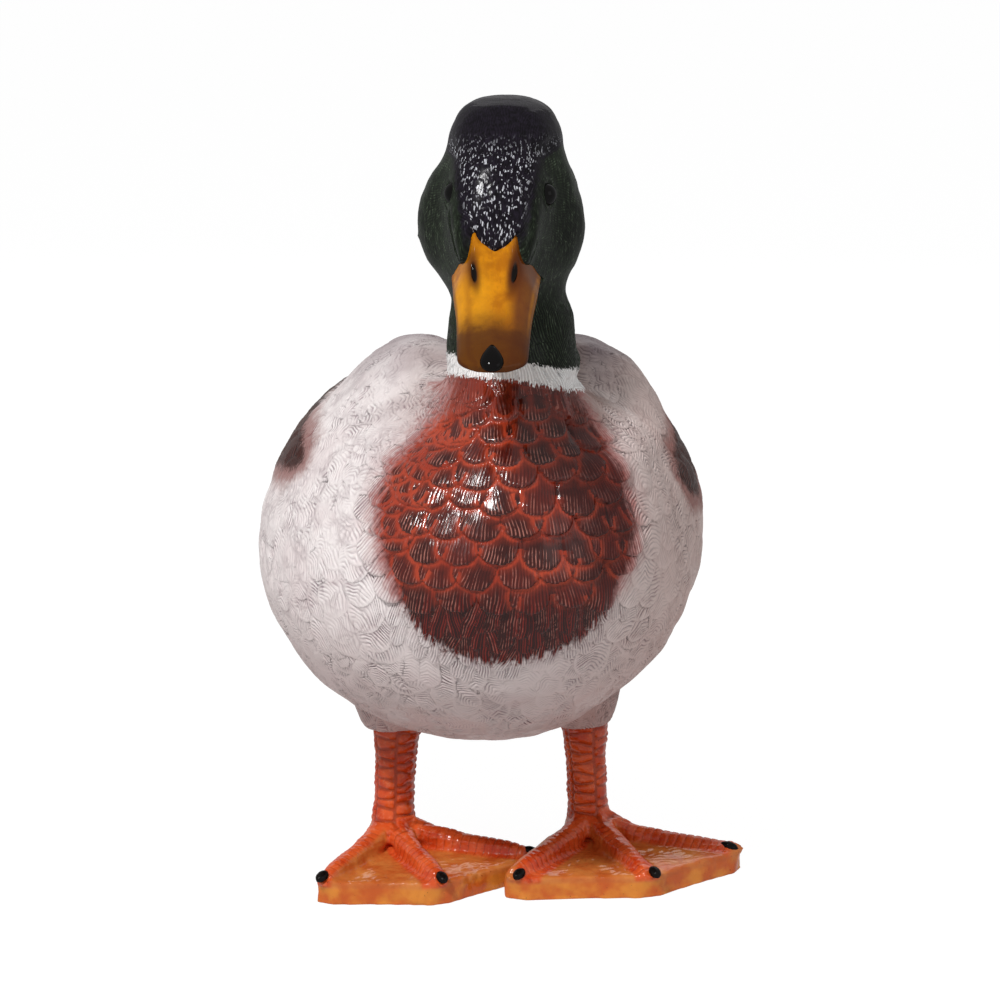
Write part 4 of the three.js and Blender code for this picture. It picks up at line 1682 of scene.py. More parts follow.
class PlumagePaint:
    """The whole skin's paint: head, collar, breast, body, wings and rump."""

    def __init__(self, tints: PlumageTints = PlumageTints()) -> None:
        """Reads what the skin keeps at its vertices and sets out the shared noises.

        Args:
            tints: The colours.
        """
        self.tints = tints
        self.net = net = Net("plumage")
        self.phase, self.rim, self.tone = net.stored("feather").parts()
        self.under, self.along, self.strength = net.stored("row").parts()
        self.breast, self.collar, self.wing = net.stored("zone").parts()
        self.crown = net.stored("crown").part(0)
        self.place = net.place()
        self.x, self.y, self.z = self.place.parts()
        self.cloud = net.noise(self.place, 0.022, 3)
        self.fine = net.noise(self.place, 0.0022, 2)
        self.wave = net.wave(self.phase)
        self.groove = self.wave.step(0.5, 0.05)
        self.cut = self.groove * self.strength
        self.barb = net.chance(self.phase.math("FLOOR"))
        self.stroke = net.chance(self.phase.math("FLOOR") + 0.37)
        self.hairs = net.noise(self.place.scaled(1, 1, 0.4), 0.0012, 2)
        self.calm = self.z.step(0.270, 0.256) * 0.75 + 0.25  # less relief above the cheeks
        # painted shade on the breast's left, the side away from the lamp
        self.breast_shade = self.x.step(0.008, 0.032) * self.z.step(0.135, 0.165)  # the breast's left

    def flank(self) -> Value:
        """Pale feathers with washed grooves, painted highlights on the ridges and a few dark
        strokes.

        Returns:
            The colour.
        """
        tints, net, place, cloud = self.tints, self.net, self.place, self.cloud
        blotch = net.noise(place, 0.012, 2)
        under = self.under.step(2.4, 0.0) * (blotch.step(0.4, 0.65) * 0.3 + 0.1)
        # painted highlight: the barbs' ridges are lightened to near white
        ridge_highlight = self.wave.step(0.65, 0.95) * self.strength
        dash = self.cut * self.stroke.step(0.78, 0.84)
        body = cloud.step(0.3, 0.75).pick(*tints.pale)
        return body.under(
            (self.cut * (blotch.step(0.4, 0.7) * 0.45 + 0.4), tints.wash),
            (under * self.z.step(0.115, 0.135), tints.under_rim),
            (ridge_highlight * net.noise(place, 0.005, 2).step(0.45, 0.6) * 0.7, tints.ridge_highlight),
            (dash * net.noise(place, 0.007, 2).step(0.48, 0.58) * 0.75, tints.dash),
            (cloud.step(0.52, 0.75) * 0.3, tints.blush),
        )

    def shaded(self, body: Value) -> Value:
        """Paints warm shade on the left flank and shade low on the belly, and darkens the saddle
        and the neck's foot.

        Args:
            body: The flanks' colour.

        Returns:
            The colour.
        """
        tints, cloud, cut = self.tints, self.cloud, self.cut
        x, y, z = self.x, self.y, self.z
        # the belly grows darker towards the bottom: mauve paint with painted shade over it
        low = z.step(0.166, 0.072) * (cloud * 0.5 + 0.45)
        # the saddle is grey paint on the back; it also covers the left shoulder, away from the
        # lamp, as painted shade
        beside = (y.step(-0.085, -0.03) * 0.75 + x.step(-0.03, 0.03)).math("MINIMUM", 1.0)
        saddle = (z + (cloud - 0.5) * 0.02 - x * 0.05).step(0.216, 0.232) * beside * 0.85
        # the tint at the neck's foot is paint, laid heavier on the left as painted shade
        near = (self.collar + (cloud - 0.5) * 12).step(-34, -8)
        return body.under(
            # painted shade on the left flank, the side away from the lamp
            (x.step(-0.01, 0.075) * 0.6, cut.pick(*tints.left_flank_shade)),
            (low * 0.92, (cut * 0.8).pick(*tints.belly)),
            (saddle, cut.pick(*tints.saddle)),
            (near * (x.step(-0.04, 0.02) * 0.35 + 0.3), cut.pick(*tints.beside_neck)),
        )

    def wing_panel(self) -> Value:
        """The brown folded wing with its blue bar between black and white ones.

        Returns:
            The colour.
        """
        tints, wave, fine, y, z = self.tints, self.wave, self.fine, self.y, self.z
        brown = (self.cloud * 0.6 + self.tone * 0.4).step(0.3, 0.7).pick(*tints.wing)
        run = y + (z - 0.18) * 0.45 + (fine - 0.5) * 0.003
        bars = run.step(0.0335, 0.0345).pick(tints.bar_white, tints.bar_black)
        bars = bars.under(
            (run.step(0.0410, 0.0420), (wave * 0.6 + self.cloud * 0.4).pick(*tints.bar_blue)),
            (run.step(0.0835, 0.0845), tints.bar_black),
            (run.step(0.0910, 0.0920), tints.bar_white),
        )
        window = run.step(0.0265, 0.0275) * run.step(0.0985, 0.0975)
        window = window * (z + (y - 0.06) * 0.3 + (fine - 0.5) * 0.003).step(0.186, 0.184)
        return brown.under(
            (wave.step(0.5, 0.95) * 0.3, tints.wing_ridge),
            (self.rim.step(1.8, 0.3) * y.step(-0.04, 0.0) * 0.6, tints.wing_rim),
            (window, bars),
        )

    def with_wing(self, body: Value) -> Value:
        """Lays the wing and the black rump over the flanks.

        Args:
            body: The flanks' colour.

        Returns:
            The colour.
        """
        tints, wave, fine, y = self.tints, self.wave, self.fine, self.y
        ahead = y.step(0.0, -0.04)
        front = wave.step(0.3, 0.9).pick(*tints.wing_front)
        brown = (ahead * 0.7).pick(self.wing_panel(), front)
        dark = self.wing + (fine - 0.5) * 5 + (wave - 0.5) * 2
        ragged = y + (self.cloud - 0.5) * 0.014 + (self.tone - 0.5) * 0.012
        rump = (ragged + (0.15 - self.z) * 0.25).step(0.100, 0.106)
        return body.under(
            (dark.step(-8.0, 1.0) * ahead * 0.8, tints.wing_halo),
            ((dark - ahead * 2.5).step(-1.5, 2.5), brown),
            (rump, self.groove.pick(*tints.rump)),
        )

    def scales(self) -> Value:
        """The breast's chestnut scales with their bright rims, pale glints and painted shade on the
        left side.

        Returns:
            The colour.
        """
        tints, cloud, fine, breast_shade = self.tints, self.cloud, self.fine, self.breast_shade
        scale = (self.tone * 0.6 + cloud * 0.4).step(0.25, 0.75).pick(*tints.scale)
        glint = self.wave.step(0.6, 0.95) * (self.along - self.barb * 0.3).step(0.04, 0.16)
        glint = glint * self.stroke.step(0.25, 0.5) * fine.step(0.3, 0.6)
        molten = self.under + (self.net.noise(self.place, 0.004, 2) - 0.5) * 2.6
        spread = self.under + (cloud - 0.5) * 2.5 + (fine - 0.5) * 2.0
        rim = molten.step(2.3, 0.4) * 0.85 + spread.step(4.4, 1.3) * 0.3
        rim = rim * (breast_shade * -0.6 + 1.0) * (self.collar.step(-8, -24) * 0.65 + 0.35)
        return scale.under(
            (self.groove * 0.6, tints.scale_groove),
            (glint * (breast_shade * -0.45 + 0.72), tints.glint),
            # painted shade darkens the breast's left side
            (breast_shade * 0.5, tints.breast_shade),
            (rim.math("MINIMUM", 1.0), cloud.step(0.3, 0.7).pick(*tints.rim)),
        )

    def with_breast(self, body: Value) -> Value:
        """Lays the breast with its hairy lower fringe over the body.

        Args:
            body: The body's colour.

        Returns:
            The colour.
        """
        tints, cloud, fine, z = self.tints, self.cloud, self.fine, self.z
        fringe = (self.wave * 0.4 + self.barb * 0.4 + fine * 0.2).step(0.4, 0.9)
        hair = self.stroke.step(0.7, 0.8) * self.wave.step(0.6, 0.9) * fine.step(0.4, 0.6)
        fringe = fringe.pick(*tints.fringe).under((hair * 0.45, tints.hair))
        scale = (z + (cloud - 0.5) * 0.016).step(0.158, 0.142).pick(self.scales(), fringe)
        low = z.step(0.152, 0.138)
        ends = self.net.noise(self.place.scaled(1, 1, 0.25), 0.0011, 1) - 0.5
        edge = self.breast + (fine - 0.5) * 4.0 + (self.barb - 0.5) * (low * 0.8 + 1.5)
        edge = edge + ends * low * 5.0
        halo = (edge.step(-9.0, 0.5) * 0.35 + edge.step(-3.5, 1.0) * 0.45) * (1 - low * 0.4)
        edge = (edge + low * 2.6).step(-0.5, 3.6)
        return body.under((halo, low.pick(*tints.halo)), (edge, scale))

    def with_head(self, color: Value) -> Value:
        """Lays the white collar, the green head with painted sheen on its hairs and the crown
        flecked with painted highlights over the rest.

        Args:
            color: The colour of the rest.

        Returns:
            The colour.
        """
        tints, net, place, z = self.tints, self.net, self.place, self.z
        wave, fine, hairs, calm = self.wave, self.fine, self.hairs, self.calm
        strand = wave * calm * 0.4 + fine * 0.2 + hairs * 0.4 + (1 - calm) * 0.2
        strand = strand.step(0.35, 0.75)
        green = (strand * 0.6 + self.cloud * 0.4).step(0.1, 0.9).pick(*tints.green)
        # painted sheen: pale highlights on some of the green hairs
        pale = hairs.step(0.56, 0.72) * wave.step(0.3, 0.8) * 0.3
        green = pale.pick(green, tints.green_sheen)
        # painted highlights: white flecks on the crown's ridges
        fleck_highlight = net.noise(place.scaled(1, 1, 0.45), 0.0011, 1).step(0.55, 0.64)
        fleck_highlight = fleck_highlight * z.step(0.284, 0.292) * z.step(0.330, 0.318) * self.crown.step(1.0, 6.0)
        fleck_highlight = fleck_highlight * wave.step(0.15, 0.6) * 0.82
        crown = fleck_highlight.pick(strand.pick(*tints.crown), tints.fleck_highlight)
        head = (self.crown + (fine - 0.5) * 4.0).step(-1.5, 1.5).pick(green, crown)
        ragged = (net.noise(place.scaled(1, 1, 0.12), 0.0007, 1) - 0.5) * 6.0
        ragged = self.collar + ragged + (fine - 0.5) * 1.5
        return color.under(
            (ragged.step(-0.4, 0.4), (strand * 0.6 + 0.4).pick(*tints.collar)),
            (ragged.step(COLLAR_TOP - 0.8, COLLAR_TOP), head),
        )

    def material(self) -> bpy.types.Material:
        """Lays the regions over each other, with fine barbs and hairs as relief.

        Returns:
            The material.
        """
        color = self.with_wing(self.shaded(self.flank()))
        color = self.with_head(self.with_breast(color))
        barbs = self.wave * self.strength * self.calm * (self.fine.step(0.3, 0.6) * 0.6 + 0.4)
        bump = self.net.bump(barbs, 0.22)
        bump = self.net.bump(self.hairs * 0.5 + self.fine, 0.12, bump)
        on_head = self.collar.step(COLLAR_TOP - 1, COLLAR_TOP)
        coat = self.breast.step(-3.0, 3.0) * (self.breast_shade * -0.16 + 0.27) + 0.19
        coat = coat * (1 - on_head) + on_head * 0.14
        return self.net.dress(color, bump, 0.42, coat, 0.14)


@dataclass(frozen=True)
class Enamel:
    """A thick, wet-looking dark enamel with a little dust in it."""

    name: str
    tint: str
    coat: float = 0.14
    dust: str = "#0a0807"

    def material(self) -> bpy.types.Material:
        """Makes the material.

        Returns:
            The material.
        """
        net = Net(self.name)
        cloud = net.noise(net.place(), 0.0035, 3)
        color = cloud.step(0.5, 0.85).pick(self.tint, self.dust)
        bump = net.bump(net.noise(net.place(), 0.0016, 2), 0.04)
        return net.dress(color, bump, 0.25, self.coat, 0.03)


@dataclass(frozen=True)
class BillGlaze:
    """Amber glaze that darkens to brown at the edges, the tip and in the nostrils, with a painted
    highlight on its right and painted shade down its left.
    """

    amber: Pair = ("#ac6606", "#d1860b")
    streaks: str = "#8f4f0a"
    lit: str = "#e6a01c"
    # brown paint at the edge, widened and darkened on the left into painted shade
    left_side_shade: str = "#5f3019"
    right_side: str = "#8a4f10"
    lip: str = "#5a2c09"
    tip: str = "#451e07"
    base: str = "#8a4a0c"
    by_nostrils: Pair = ("#5a260d", "#4a2008")
    nostrils: str = "#0c0604"

    def material(self) -> bpy.types.Material:
        """Makes the material.

        Returns:
            The material.
        """
        net = Net("bill")
        u, across, away = net.stored("bill").parts()
        place = net.place()
        cloud = net.noise(place, 0.007, 4, 0.6)
        streak = net.noise(place.scaled(3.2, 1, 1), 0.0035, 3)
        ragged = across + (cloud - 0.5) * 0.25
        # the left side, away from the lamp: brown edge paint with painted shade
        left = ragged.step(0.36, 0.66) * across.step(0.99, 0.90) * (u.step(46, 34) * 0.35 + 0.5)
        right = ragged.step(-0.5, -0.64) * ragged.step(-0.82, -0.66)
        wide, close = self.by_nostrils
        color = cloud.step(0.3, 0.7).pick(*self.amber)
        color = color.under(
            (streak.step(0.5, 0.8) * 0.3, self.streaks),
            (across.step(0.15, -0.4) * u.step(8, 22) * 0.45, self.lit),
            (left, self.left_side_shade),
            (right * 0.45, self.right_side),
            (across.math("ABSOLUTE").step(0.93, 1.0) * 0.7, self.lip),
            ((u + (cloud - 0.5) * 18).step(29, 48) * 0.92, self.tip),
            ((u + (cloud - 0.5) * 6).step(7, 0) * 0.45, self.base),
            (away.step(4.6, 0.8) * across.step(0.1, 0.4) * 0.7, wide),
            (away.step(3.0, 0.9) * 0.85, close),
            (away.step(1.15, 0.7), self.nostrils),
        )
        bump = net.bump(cloud, 0.14, net.bump(streak, 0.10))
        return net.dress(color, bump, 0.3, 0.17, 0.06)


@dataclass(frozen=True)
class LegPaint:
    """Orange-red legs with dark grooves and painted shade towards their top; the web is more yellow
    and wears spots.
    """

    top: Pair = ("#c43d15", "#e05f2c")
    worn: str = "#e88f66"
    web: Pair = ("#c25c26", "#d68440")
    spots: str = "#9a4119"
    slab: Pair = ("#cb5e24", "#df8a34")
    groove: str = "#7d2a0c"
    # painted shade for the top of the leg, under the belly
    shank: str = "#84200c"
    specks: str = "#3a1a10"

    def material(self) -> bpy.types.Material:
        """Makes the material.

        Returns:
            The material.
        """
        net = Net("leg")
        raised, web, edge = net.stored("leg").parts()
        place = net.place()
        cloud = net.noise(place, 0.011, 3)
        fine = net.noise(place, 0.0018, 3)
        flat = cloud.step(0.3, 0.72).pick(*self.web)
        color = cloud.step(0.3, 0.7).pick(*self.top)
        color = color.under(
            (fine.step(0.5, 0.75) * 0.35, self.worn),
            (web, flat.under((fine.step(0.62, 0.8) * 0.6, self.spots))),
            (edge, cloud.step(0.35, 0.65).pick(*self.slab)),
            (raised.step(0.7, 0.1) * 0.6, self.groove),
            # painted shade: the leg darkens towards its top, under the belly
            (place.part(2).step(0.028, 0.084) * 0.65, self.shank),
            (net.noise(place, 0.0009, 1).step(0.74, 0.8) * 0.7, self.specks),
        )
        bump = net.bump(cloud, 0.4, net.bump(fine, 0.16))
        return net.dress(color, bump, 0.36, 0.42, 0.10)


@dataclass(frozen=True)
class BladePaint:
    """A long stiff feather with fine barbs and a drawn edge."""

    name: str
    face: str
    groove: str
    rim: str

    def material(self) -> bpy.types.Material:
        """Makes the material.

        Returns:
            The material.
        """
        net = Net(self.name)
        phase, rim, _ = net.stored("blade").parts()
        place = net.place()
        cloud = net.noise(place, 0.012, 3)
        fine = net.noise(place, 0.002, 2)
        wave = net.wave(phase)
        color = (wave.step(0.55, 0.05) * (fine * 0.6 + 0.1)).pick(self.face, self.groove)
        color = (cloud.step(0.45, 0.7) * 0.35).pick(color, self.groove)
        color = (rim.step(1.6, 0.5) * 0.85).pick(color, self.rim)
        bump = net.bump(fine, 0.08, net.bump(wave, 0.22))
        return net.dress(color, bump, 0.4, 0.2, 0.12)


# ---- Legs and feet ---------------------------------------------------------------------------

TOES_OUT = {  # how much further the toes reach to the figure's right and left, and the shift
    Side.LEFT: (-0.16, 0.15, -1.2),
    Side.RIGHT: (0.02, 0.03, 2.0),
}
CLAWS_OUT = {  # how far the claws of the inner, middle, outer and hind toe move
    Side.LEFT: [(-3.4, 1.0, 0.9), (2.6, 1.4, 0.9), (1.4, 0.5, 0.9), (-1.2, -1.0, 0.6)],
    Side.RIGHT: [(2.4, 1.2, 1.9), (2.6, 1.2, 1.9), (2.4, 1.2, 1.9), (2.0, -1.0, 0.6)],
}


@dataclass
class Leg:
    """A scaly leg with its webbed foot and five-sided slab, in one casting."""

    side: Side
    axis: tuple[float, float] = (-2.2, -33.85)  # x and y, midway between the feet
    spread: float = 91.0  # from foot to foot
    hips: float = 84.0  # from leg to leg where they meet the belly
    top: float = 86.0
    turn: float = 16.0
    fan: float = 49.0  # the angle between two toes
    slab: float = 8.5
    toe_lengths: Spot = (65.0, 61.0, 62.0)  # inner, middle, outer
    scute: float = 4.6
    bead: tuple[float, float] = (3.1, 17)  # its height in mm and its width in degrees
    joint: float = 3.6

    def build(self) -> None:
        """Makes the leg with its foot and cuts the scales into it."""
        word = self.side.word
        nodes = (f"leg_{word}", f"foot_{word}")
        leg = evened(nodes, f"shank_{word}", 0.2, 1.1, 7)
        points = read_points(leg.data)
        points = relaxed(leg.data, points, 16, ease(24, 14, points[:, 2]))
        write_points(leg.data, self.shaped(points))
        leg = subdivided(leg, 1)
        self.cut_scales(leg.data)
        place(leg, LegPaint().material(), "leg", nodes)

    def from_foot(self, points: Array) -> Array:
        """The three coordinates of the points, as seen from the middle of the foot."""
        return (points - (self.axis[0] + self.side.value * self.spread / 2, self.axis[1], 0)).T

    def shaped(self, points: Array) -> Array:
        """Spreads the toes, thickens the slab and widens the leg towards the belly.

        Args:
            points: The leg's points.

        Returns:
            The moved points.
        """
        x, y, z = self.from_foot(points)
        reach = np.hypot(x, y)
        moved = points.copy()
        low, high, aside = TOES_OUT[self.side]
        toes = ease(30, 14, z) * ease(6, 34, reach) * ease(14, -8, y)
        moved[:, 0] += toes * np.where(x > 0, high, low) * np.abs(x) + aside
        inner = -self.side.value * x
        moved[:, 0] -= self.side.value * 4.0 * ease(58, 86, z) * ease(-3, 9, inner)
        moved[:, 2] += 1.9 * ease(3, 7.5, z) * ease(30, 16, z)
        if self.side is Side.LEFT:
            outer = ease(9, 19, x) * ease(64, 46, x)
            moved[:, 2] -= 2.4 * outer * ease(9.5, 13.5, z) * ease(30, 20, z)
        instep = np.where((z > 7) & (reach < 24) & (y < 3), 17.2 - 0.36 * reach, 0)
        moved[:, 2] = np.maximum(np.maximum(moved[:, 2], instep), 0)
        return moved

    def shank_scales(self, points: Array) -> tuple[Array, Array]:
        """Rows of shields down the front of the shank, and beads round its back.

        Args:
            points: The leg's points.

        Returns:
            How raised each place is, 0 to 1, and its angle from the front in degrees.
        """
        x, y, z = self.from_foot(points)
        rise = np.clip((z - 2) / (self.top - 2), 0, 1)
        lean = self.side.value * (self.hips - self.spread) / 2 * rise
        angle = np.degrees(np.arctan2(x - lean, -y)) - self.turn * 0.6 + 2 * np.sin(z / 7)
        front = np.abs(angle)
        row = z / self.scute + 0.5 * (angle > 0) + 0.14 * ripple(points, 9, 21)
        across = np.abs((row % 1) - 0.5) * 2  # 1 on a groove
        beside = np.minimum(front, np.abs(front - 66)) / 9
        shields = ease(1.0, 0.3, across) * ease(0.0, 1.0, beside)
        tall, wide = self.bead
        row = z / tall + 0.5 * (np.floor(angle / wide) % 2)
        beads = np.abs(np.sin(row * math.pi)) * np.abs(np.sin(angle / wide * math.pi))
        in_front = ease(72, 60, front)
        return in_front * shields + (1 - in_front) * np.sqrt(beads), angle

    def toes(self, points: Array) -> tuple[Array, Array]:
        """The three toes with the joints across them.

        Args:
            points: The leg's points.

        Returns:
            How far each place is on a toe, and how raised it is between two joints, 0 to 1.
        """
        x, y, z = self.from_foot(points)
        toe, joint = np.zeros_like(x), np.zeros_like(x)
        for k, length in enumerate(self.toe_lengths[:: -self.side.value]):
            heading = math.radians(-90 + self.turn + (1 - k) * self.fan)
            run = x * math.cos(heading) + y * math.sin(heading)
            aside = y * math.cos(heading) - x * math.sin(heading)
            on_toe = ease(6.6, 4.4, np.abs(aside)) * ease(2, 8, run)
            on_toe *= ease(length + 4, length, run) * ease(self.slab - 2.2, self.slab + 0.4, z)
            step = run / self.joint + 0.16 * (aside / 4) ** 2
            bulge = ease(1.0, 0.5, np.abs((step % 1) - 0.5) * 2)
            joint = np.where(on_toe > toe, bulge, joint)
            toe = np.maximum(toe, on_toe)
        return toe, joint

    def cut_scales(self, mesh: bpy.types.Mesh) -> None:
        """Cuts scutes on the shank, joints on the toes and creases in the web.

        Args:
            mesh: The leg's mesh.
        """
        points, normals = read_points(mesh), read_normals(mesh)
        z = points[:, 2]
        shank, angle = self.shank_scales(points)
        toe, joint = self.toes(points)
        foot = ease(24, 16, z)
        web = foot * (1 - toe)
        soft = 0.45 + 0.55 * ease(-0.8, 0.8, ripple(points, 11, 24))
        crease = ripple(points * (1, 1, 0.4), 17, 22) * 0.6 + np.abs(ripple(points, 7, 23)) * 0.4
        relief = (shank * (1 - foot) + 0.45 * foot * toe * joint) * soft + 0.55 * web * crease
        relief += 0.4 * foot * ease(12, 20, z) * np.abs(np.sin(z * 1.3 + 0.2 * angle))
        relief = (relief - 0.45) * ease(0.3, 1.5, z)
        moved = points + normals * relief[:, None]
        moved[:, 2] = np.maximum(moved[:, 2], 0)
        write_points(mesh, moved)
        raised = foot * toe * (joint * 0.7 + 0.3) + web * (0.65 + 0.1 * crease)
        raised = np.clip(shank * (1 - foot) + raised, 0, 1)
        edge = foot * ease(self.slab - 0.5, self.slab - 2, z)
        write_field(mesh, "leg", np.stack([raised, web, edge], 1))


@dataclass
class Claws:
    """The four black claws of a foot."""

    side: Side
    squash: Spot = (1.0, 0.95, 0.85)

    def build(self) -> None:
        """Makes the claws as smooth beans."""
        names = [f"claw_{self.side.word}_{toe}" for toe in ("inner", "middle", "outer", "hind")]
        claws = solid_copy(names, f"toe_nails_{self.side.word}", 0.3)
        points = read_points(claws.data)
        middles = np.array([np.mean(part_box(name), axis=0) for name in names]) / MM
        near = np.argmin(np.linalg.norm(points[:, None] - middles[None], axis=2), axis=1)
        points = middles[near] + (points - middles[near]) * self.squash
        write_points(claws.data, points + np.array(CLAWS_OUT[self.side])[near])
        claws = subdivided(claws, 2)
        place(claws, Enamel("black claw", "#120e0d").material(), "claw", names)


# ---- Tail and long feathers ------------------------------------------------------------------


@dataclass
class Tail:
    """A fan of stiff feathers that overlap towards the middle one."""

    count: int = 11
    root: Spot = (-7.2, 112.0, 171.0)
    reach: float = 88.1
    lift: float = 13.0
    root_half: float = 17.0
    half: float = 43.0
    droop: float = 9.0
    barb: float = 2.0
    paint: BladePaint = BladePaint("tail", "#e4dad7", "#a59794", "#756865")

    def build(self) -> None:
        """Makes all the feathers and joins them into one piece."""
        whole = bmesh.new()
        fields = []
        for k in range(self.count):
            v = (2 * k + 1) / self.count - 1
            blade = lofted(f"blade_{k}", 36, 38, lambda angle, along: self.blade(v, angle, along))
            mesh = blade.data
            whole.from_mesh(mesh)
            points = read_points(mesh)
            x, y, _ = (points - self.root).T
            t = y / self.reach
            aside = np.abs(x - v * self.spread(t))
            phase = (y - aside * 1.6 + 1.2 * ripple(points, 20, 31 + k)) / self.barb
            fields.append(np.stack([phase, self.width(t) / 2 - aside, np.zeros_like(t)], 1))
            bpy.data.objects.remove(blade)
            bpy.data.meshes.remove(mesh)
        mesh = mesh_from(whole, "tail_fan")
        write_field(mesh, "blade", np.concatenate(fields))
        tail = subdivided(link(mesh, "tail_fan"), 1)
        place(tail, self.paint.material(), "tail", ("tail",))

    def width(self, t: Array) -> Array:
        """How wide a feather is along its length."""
        return 8.5 + 6.0 * ease(0.0, 0.7, t)

    def spread(self, t: Array) -> Array:
        """How far from the middle the outermost feather lies, along its length."""
        return self.root_half + (self.half - self.root_half) * ease(0, 0.85, t)

    def blade(self, v: float, angle: Array, along: Array) -> Array:
        """One feather, from its root inside the rump to its rounded tip.

        Args:
            v: Where it lies in the fan, -1 to 1.
            angle: The angles round its section, in radians.
            along: How far along it, 0 to 1.

        Returns:
            The points.
        """
        cosine, sine = np.cos(angle), np.sin(angle)
        length = (1 - 0.32 * v * v) * self.reach - 1.5
        t = np.sin(along * math.pi / 2) * 0.98 + 0.02 * along
        tip = np.sqrt(np.maximum(1 - np.clip((t - 0.86) / 0.14, 0, 1) ** 2, 0.002))
        half = self.width(t) / 2 * tip
        x = v * self.spread(t) + half * cosine
        y = length * t - 1.4 * cosine**2 * tip
        share = (x / np.maximum(self.spread(t), 1)) ** 2
        z = self.lift * t - self.droop * np.minimum(share, 1.15)
        z += (2.0 - 3.4 * abs(v)) * (1 - 0.5 * t)  # the feathers' layers
        z += (1.0 - 0.45 * t) * tip * sine - 0.4 * cosine**2
        z += 0.35 * np.exp(-((half * cosine / 0.8) ** 2)) * (sine > 0) * tip  # the shaft
        return np.stack([x, y, z], 1) + self.root


@dataclass
class Primaries:
    """The long flight feathers of one wing, laid over each other above the rump."""

    side: Side
    lane: float = 5.2  # how much of a feather shows
    barb: float = 1.7
    paint: BladePaint = BladePaint("primaries", "#4a3a35", "#2a201e", "#9c8a83")

    def build(self) -> None:
        """Makes the blade and cuts the steps between its feathers."""
        node = f"primaries_{self.side.word}"
        blade = subdivided(evened((node,), f"flight_{self.side.word}", 0.1, 1.3, 5), 1)
        mesh = blade.data
        points, normals = read_points(mesh), read_normals(mesh)
        y = points[:, 1]
        outer = (points[:, 0] - MIDDLE_X) * self.side.value + 14 * (y - y.min()) / np.ptp(y)
        across = (outer / self.lane + 0.12 * ripple(points, 30, 41)) % 1
        step = 0.9 * (across - 0.5) * ease(0, 0.12, across) - 0.3
        step *= ease(0, 0.3, np.abs(normals[:, 2]))
        write_points(mesh, points + normals * step[:, None])
        rim = np.minimum(across, 1 - across) * self.lane
        write_field(mesh, "blade", np.stack([(y + 5 * across) / self.barb, rim, across], 1))
        place(blade, self.paint.material(), "primary", (node,))


@dataclass
class Curl:
    """One of the two black feathers that curl up over the tail."""

    side: Side
    barb: float = 1.1
    rim: float = 2.0  # further from the edge than any drawn rim
    paint: BladePaint = BladePaint("curl", "#1c1e20", "#0c0d0e", "#26302c")

    def build(self) -> None:
        """Makes the curl smooth and cuts fine grooves along it."""
        node = f"curl_{self.side.word}"
        curl = subdivided(evened((node,), f"drake_{node}", 0.0, 0.7, 6), 1)
        x = read_points(curl.data)[:, 0]
        fields = [x / self.barb, np.full_like(x, self.rim), np.zeros_like(x)]
        write_field(curl.data, "blade", np.stack(fields, 1))
        place(curl, self.paint.material(), "tail_black", (node,))


# ---- The room --------------------------------------------------------------------------------


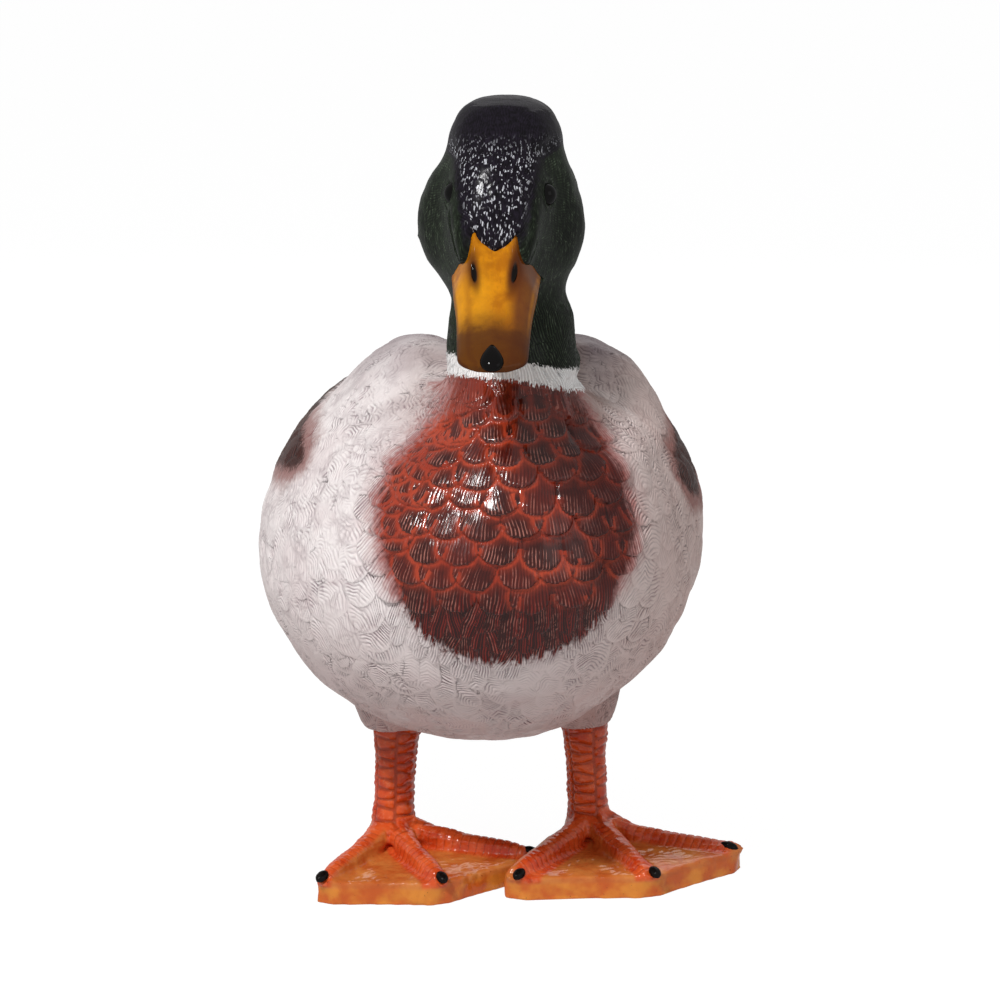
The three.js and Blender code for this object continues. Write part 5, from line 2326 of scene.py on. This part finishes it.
@dataclass
class Room:
    """A pale floor, soft lamps and the camera. Its own lengths are in metres."""

    floor_size: float = 40.0
    floor_grey: float = 0.75
    floor_glow: float = 1.12  # what the camera sees in place of the lit floor
    floor_share: float = 0.85  # how much of the glow it sees
    air: float = 0.34  # the plain light all round
    eye: Spot = (-0.1326, -1.3167, 0.430)
    aim: Spot = (0.0, 0.0, 0.2)  # what the lamps face
    azimuth: float = -6.0
    pitch: float = 11.7
    lens: float = 109.8
    sensor: float = 36.0

    def build(self) -> None:
        """Makes floor, lamps, world and camera."""
        self.make_floor()
        self.make_world()
        self.make_lamp("key", (-0.78, -1.18, 1.50), 0.21, 25.0)
        self.make_lamp("fill", (1.1, -1.3, 0.8), 0.9, 2.5)
        self.make_lamp("back", (0.3, 1.3, 1.2), 1.2, 6.0)
        self.make_camera()

    def make_floor(self) -> None:
        """A plane that the camera sees as white, with the figure's soft shadow."""
        held = bmesh.new()
        bmesh.ops.create_grid(held, x_segments=1, y_segments=1, size=self.floor_size)
        mesh = mesh_from(held, "floor")
        floor = link(mesh, "floor")
        net = Net("floor")
        seen = net.node("ShaderNodeLightPath", {}, {}, 0)
        for other in (3, 6):  # glossy and transmission rays
            seen = seen.math("MAXIMUM", net.node("ShaderNodeLightPath", {}, {}, other))
        lit = net.node("ShaderNodeBsdfDiffuse", {}, {"Color": (*[self.floor_grey] * 3, 1)})
        glow = {"Color": (1, 1, 1, 1), "Strength": self.floor_glow}
        glow = net.node("ShaderNodeEmission", {}, glow)
        sockets = {0: seen * self.floor_share, 1: lit, 2: glow}
        mixed = net.node("ShaderNodeMixShader", {}, sockets)
        output = net.tree.nodes["Material Output"]
        net.tree.links.new(mixed.socket, output.inputs["Surface"])
        mesh.materials.append(net.material)

    def make_world(self) -> None:
        """Plain light all round, white behind the figure."""
        world = bpy.data.worlds.new("room")
        world.use_nodes = True
        bpy.context.scene.world = world
        nodes, links = world.node_tree.nodes, world.node_tree.links
        background = nodes["Background"]
        path = nodes.new("ShaderNodeLightPath")
        strength = nodes.new("ShaderNodeMapRange")
        strength.inputs["To Min"].default_value = self.air
        strength.inputs["To Max"].default_value = 1.0
        seen = path.outputs["Is Camera Ray"]
        for other in ("Is Glossy Ray", "Is Transmission Ray"):
            either = nodes.new("ShaderNodeMath")
            either.operation = "MAXIMUM"
            links.new(seen, either.inputs[0])
            links.new(path.outputs[other], either.inputs[1])
            seen = either.outputs[0]
        links.new(seen, strength.inputs["Value"])
        links.new(strength.outputs["Result"], background.inputs["Strength"])
        background.inputs["Color"].default_value = (1, 1, 1, 1)

    def make_lamp(self, name: str, at: Spot, size: float, power: float) -> None:
        """A square soft box that faces the figure.

        Args:
            name: Its name.
            at: Where it hangs.
            size: How wide it is.
            power: Its power, in watts.
        """
        light = bpy.data.lights.new(name, "AREA")
        light.energy = power
        light.size = size
        lamp = bpy.data.objects.new(name, light)
        lamp.location = at
        lamp.rotation_euler = (Vector(self.aim) - Vector(at)).to_track_quat("-Z", "Y").to_euler()
        bpy.context.scene.collection.objects.link(lamp)

    def make_camera(self) -> None:
        """The camera, a little above the figure's head and in front of it."""
        data = bpy.data.cameras.new("camera")
        data.lens = self.lens
        data.sensor_width = self.sensor
        camera = bpy.data.objects.new("camera", data)
        camera.location = self.eye
        tilt = math.radians(90 - self.pitch)
        camera.rotation_euler = (tilt, 0, math.radians(self.azimuth))
        bpy.context.scene.collection.objects.link(camera)
        bpy.context.scene.camera = camera


def main() -> None:
    """Builds the room and the figure piece by piece; each piece's face count is logged as it is
    placed.
    """
    logging.basicConfig(level=logging.INFO, format="%(message)s", stream=sys.stdout)
    Room().build()
    bpy.context.scene.view_settings.view_transform = "Standard"
    bill = Bill()
    bill.build()
    eyes = Eyes().build()
    for side in Side:
        Leg(side).build()
        Claws(side).build()
        Primaries(side).build()
        Curl(side).build()
    Tail().build()
    Plumage(bill=bill, eyes=eyes).build()


if __name__ == "__main__":
    main()
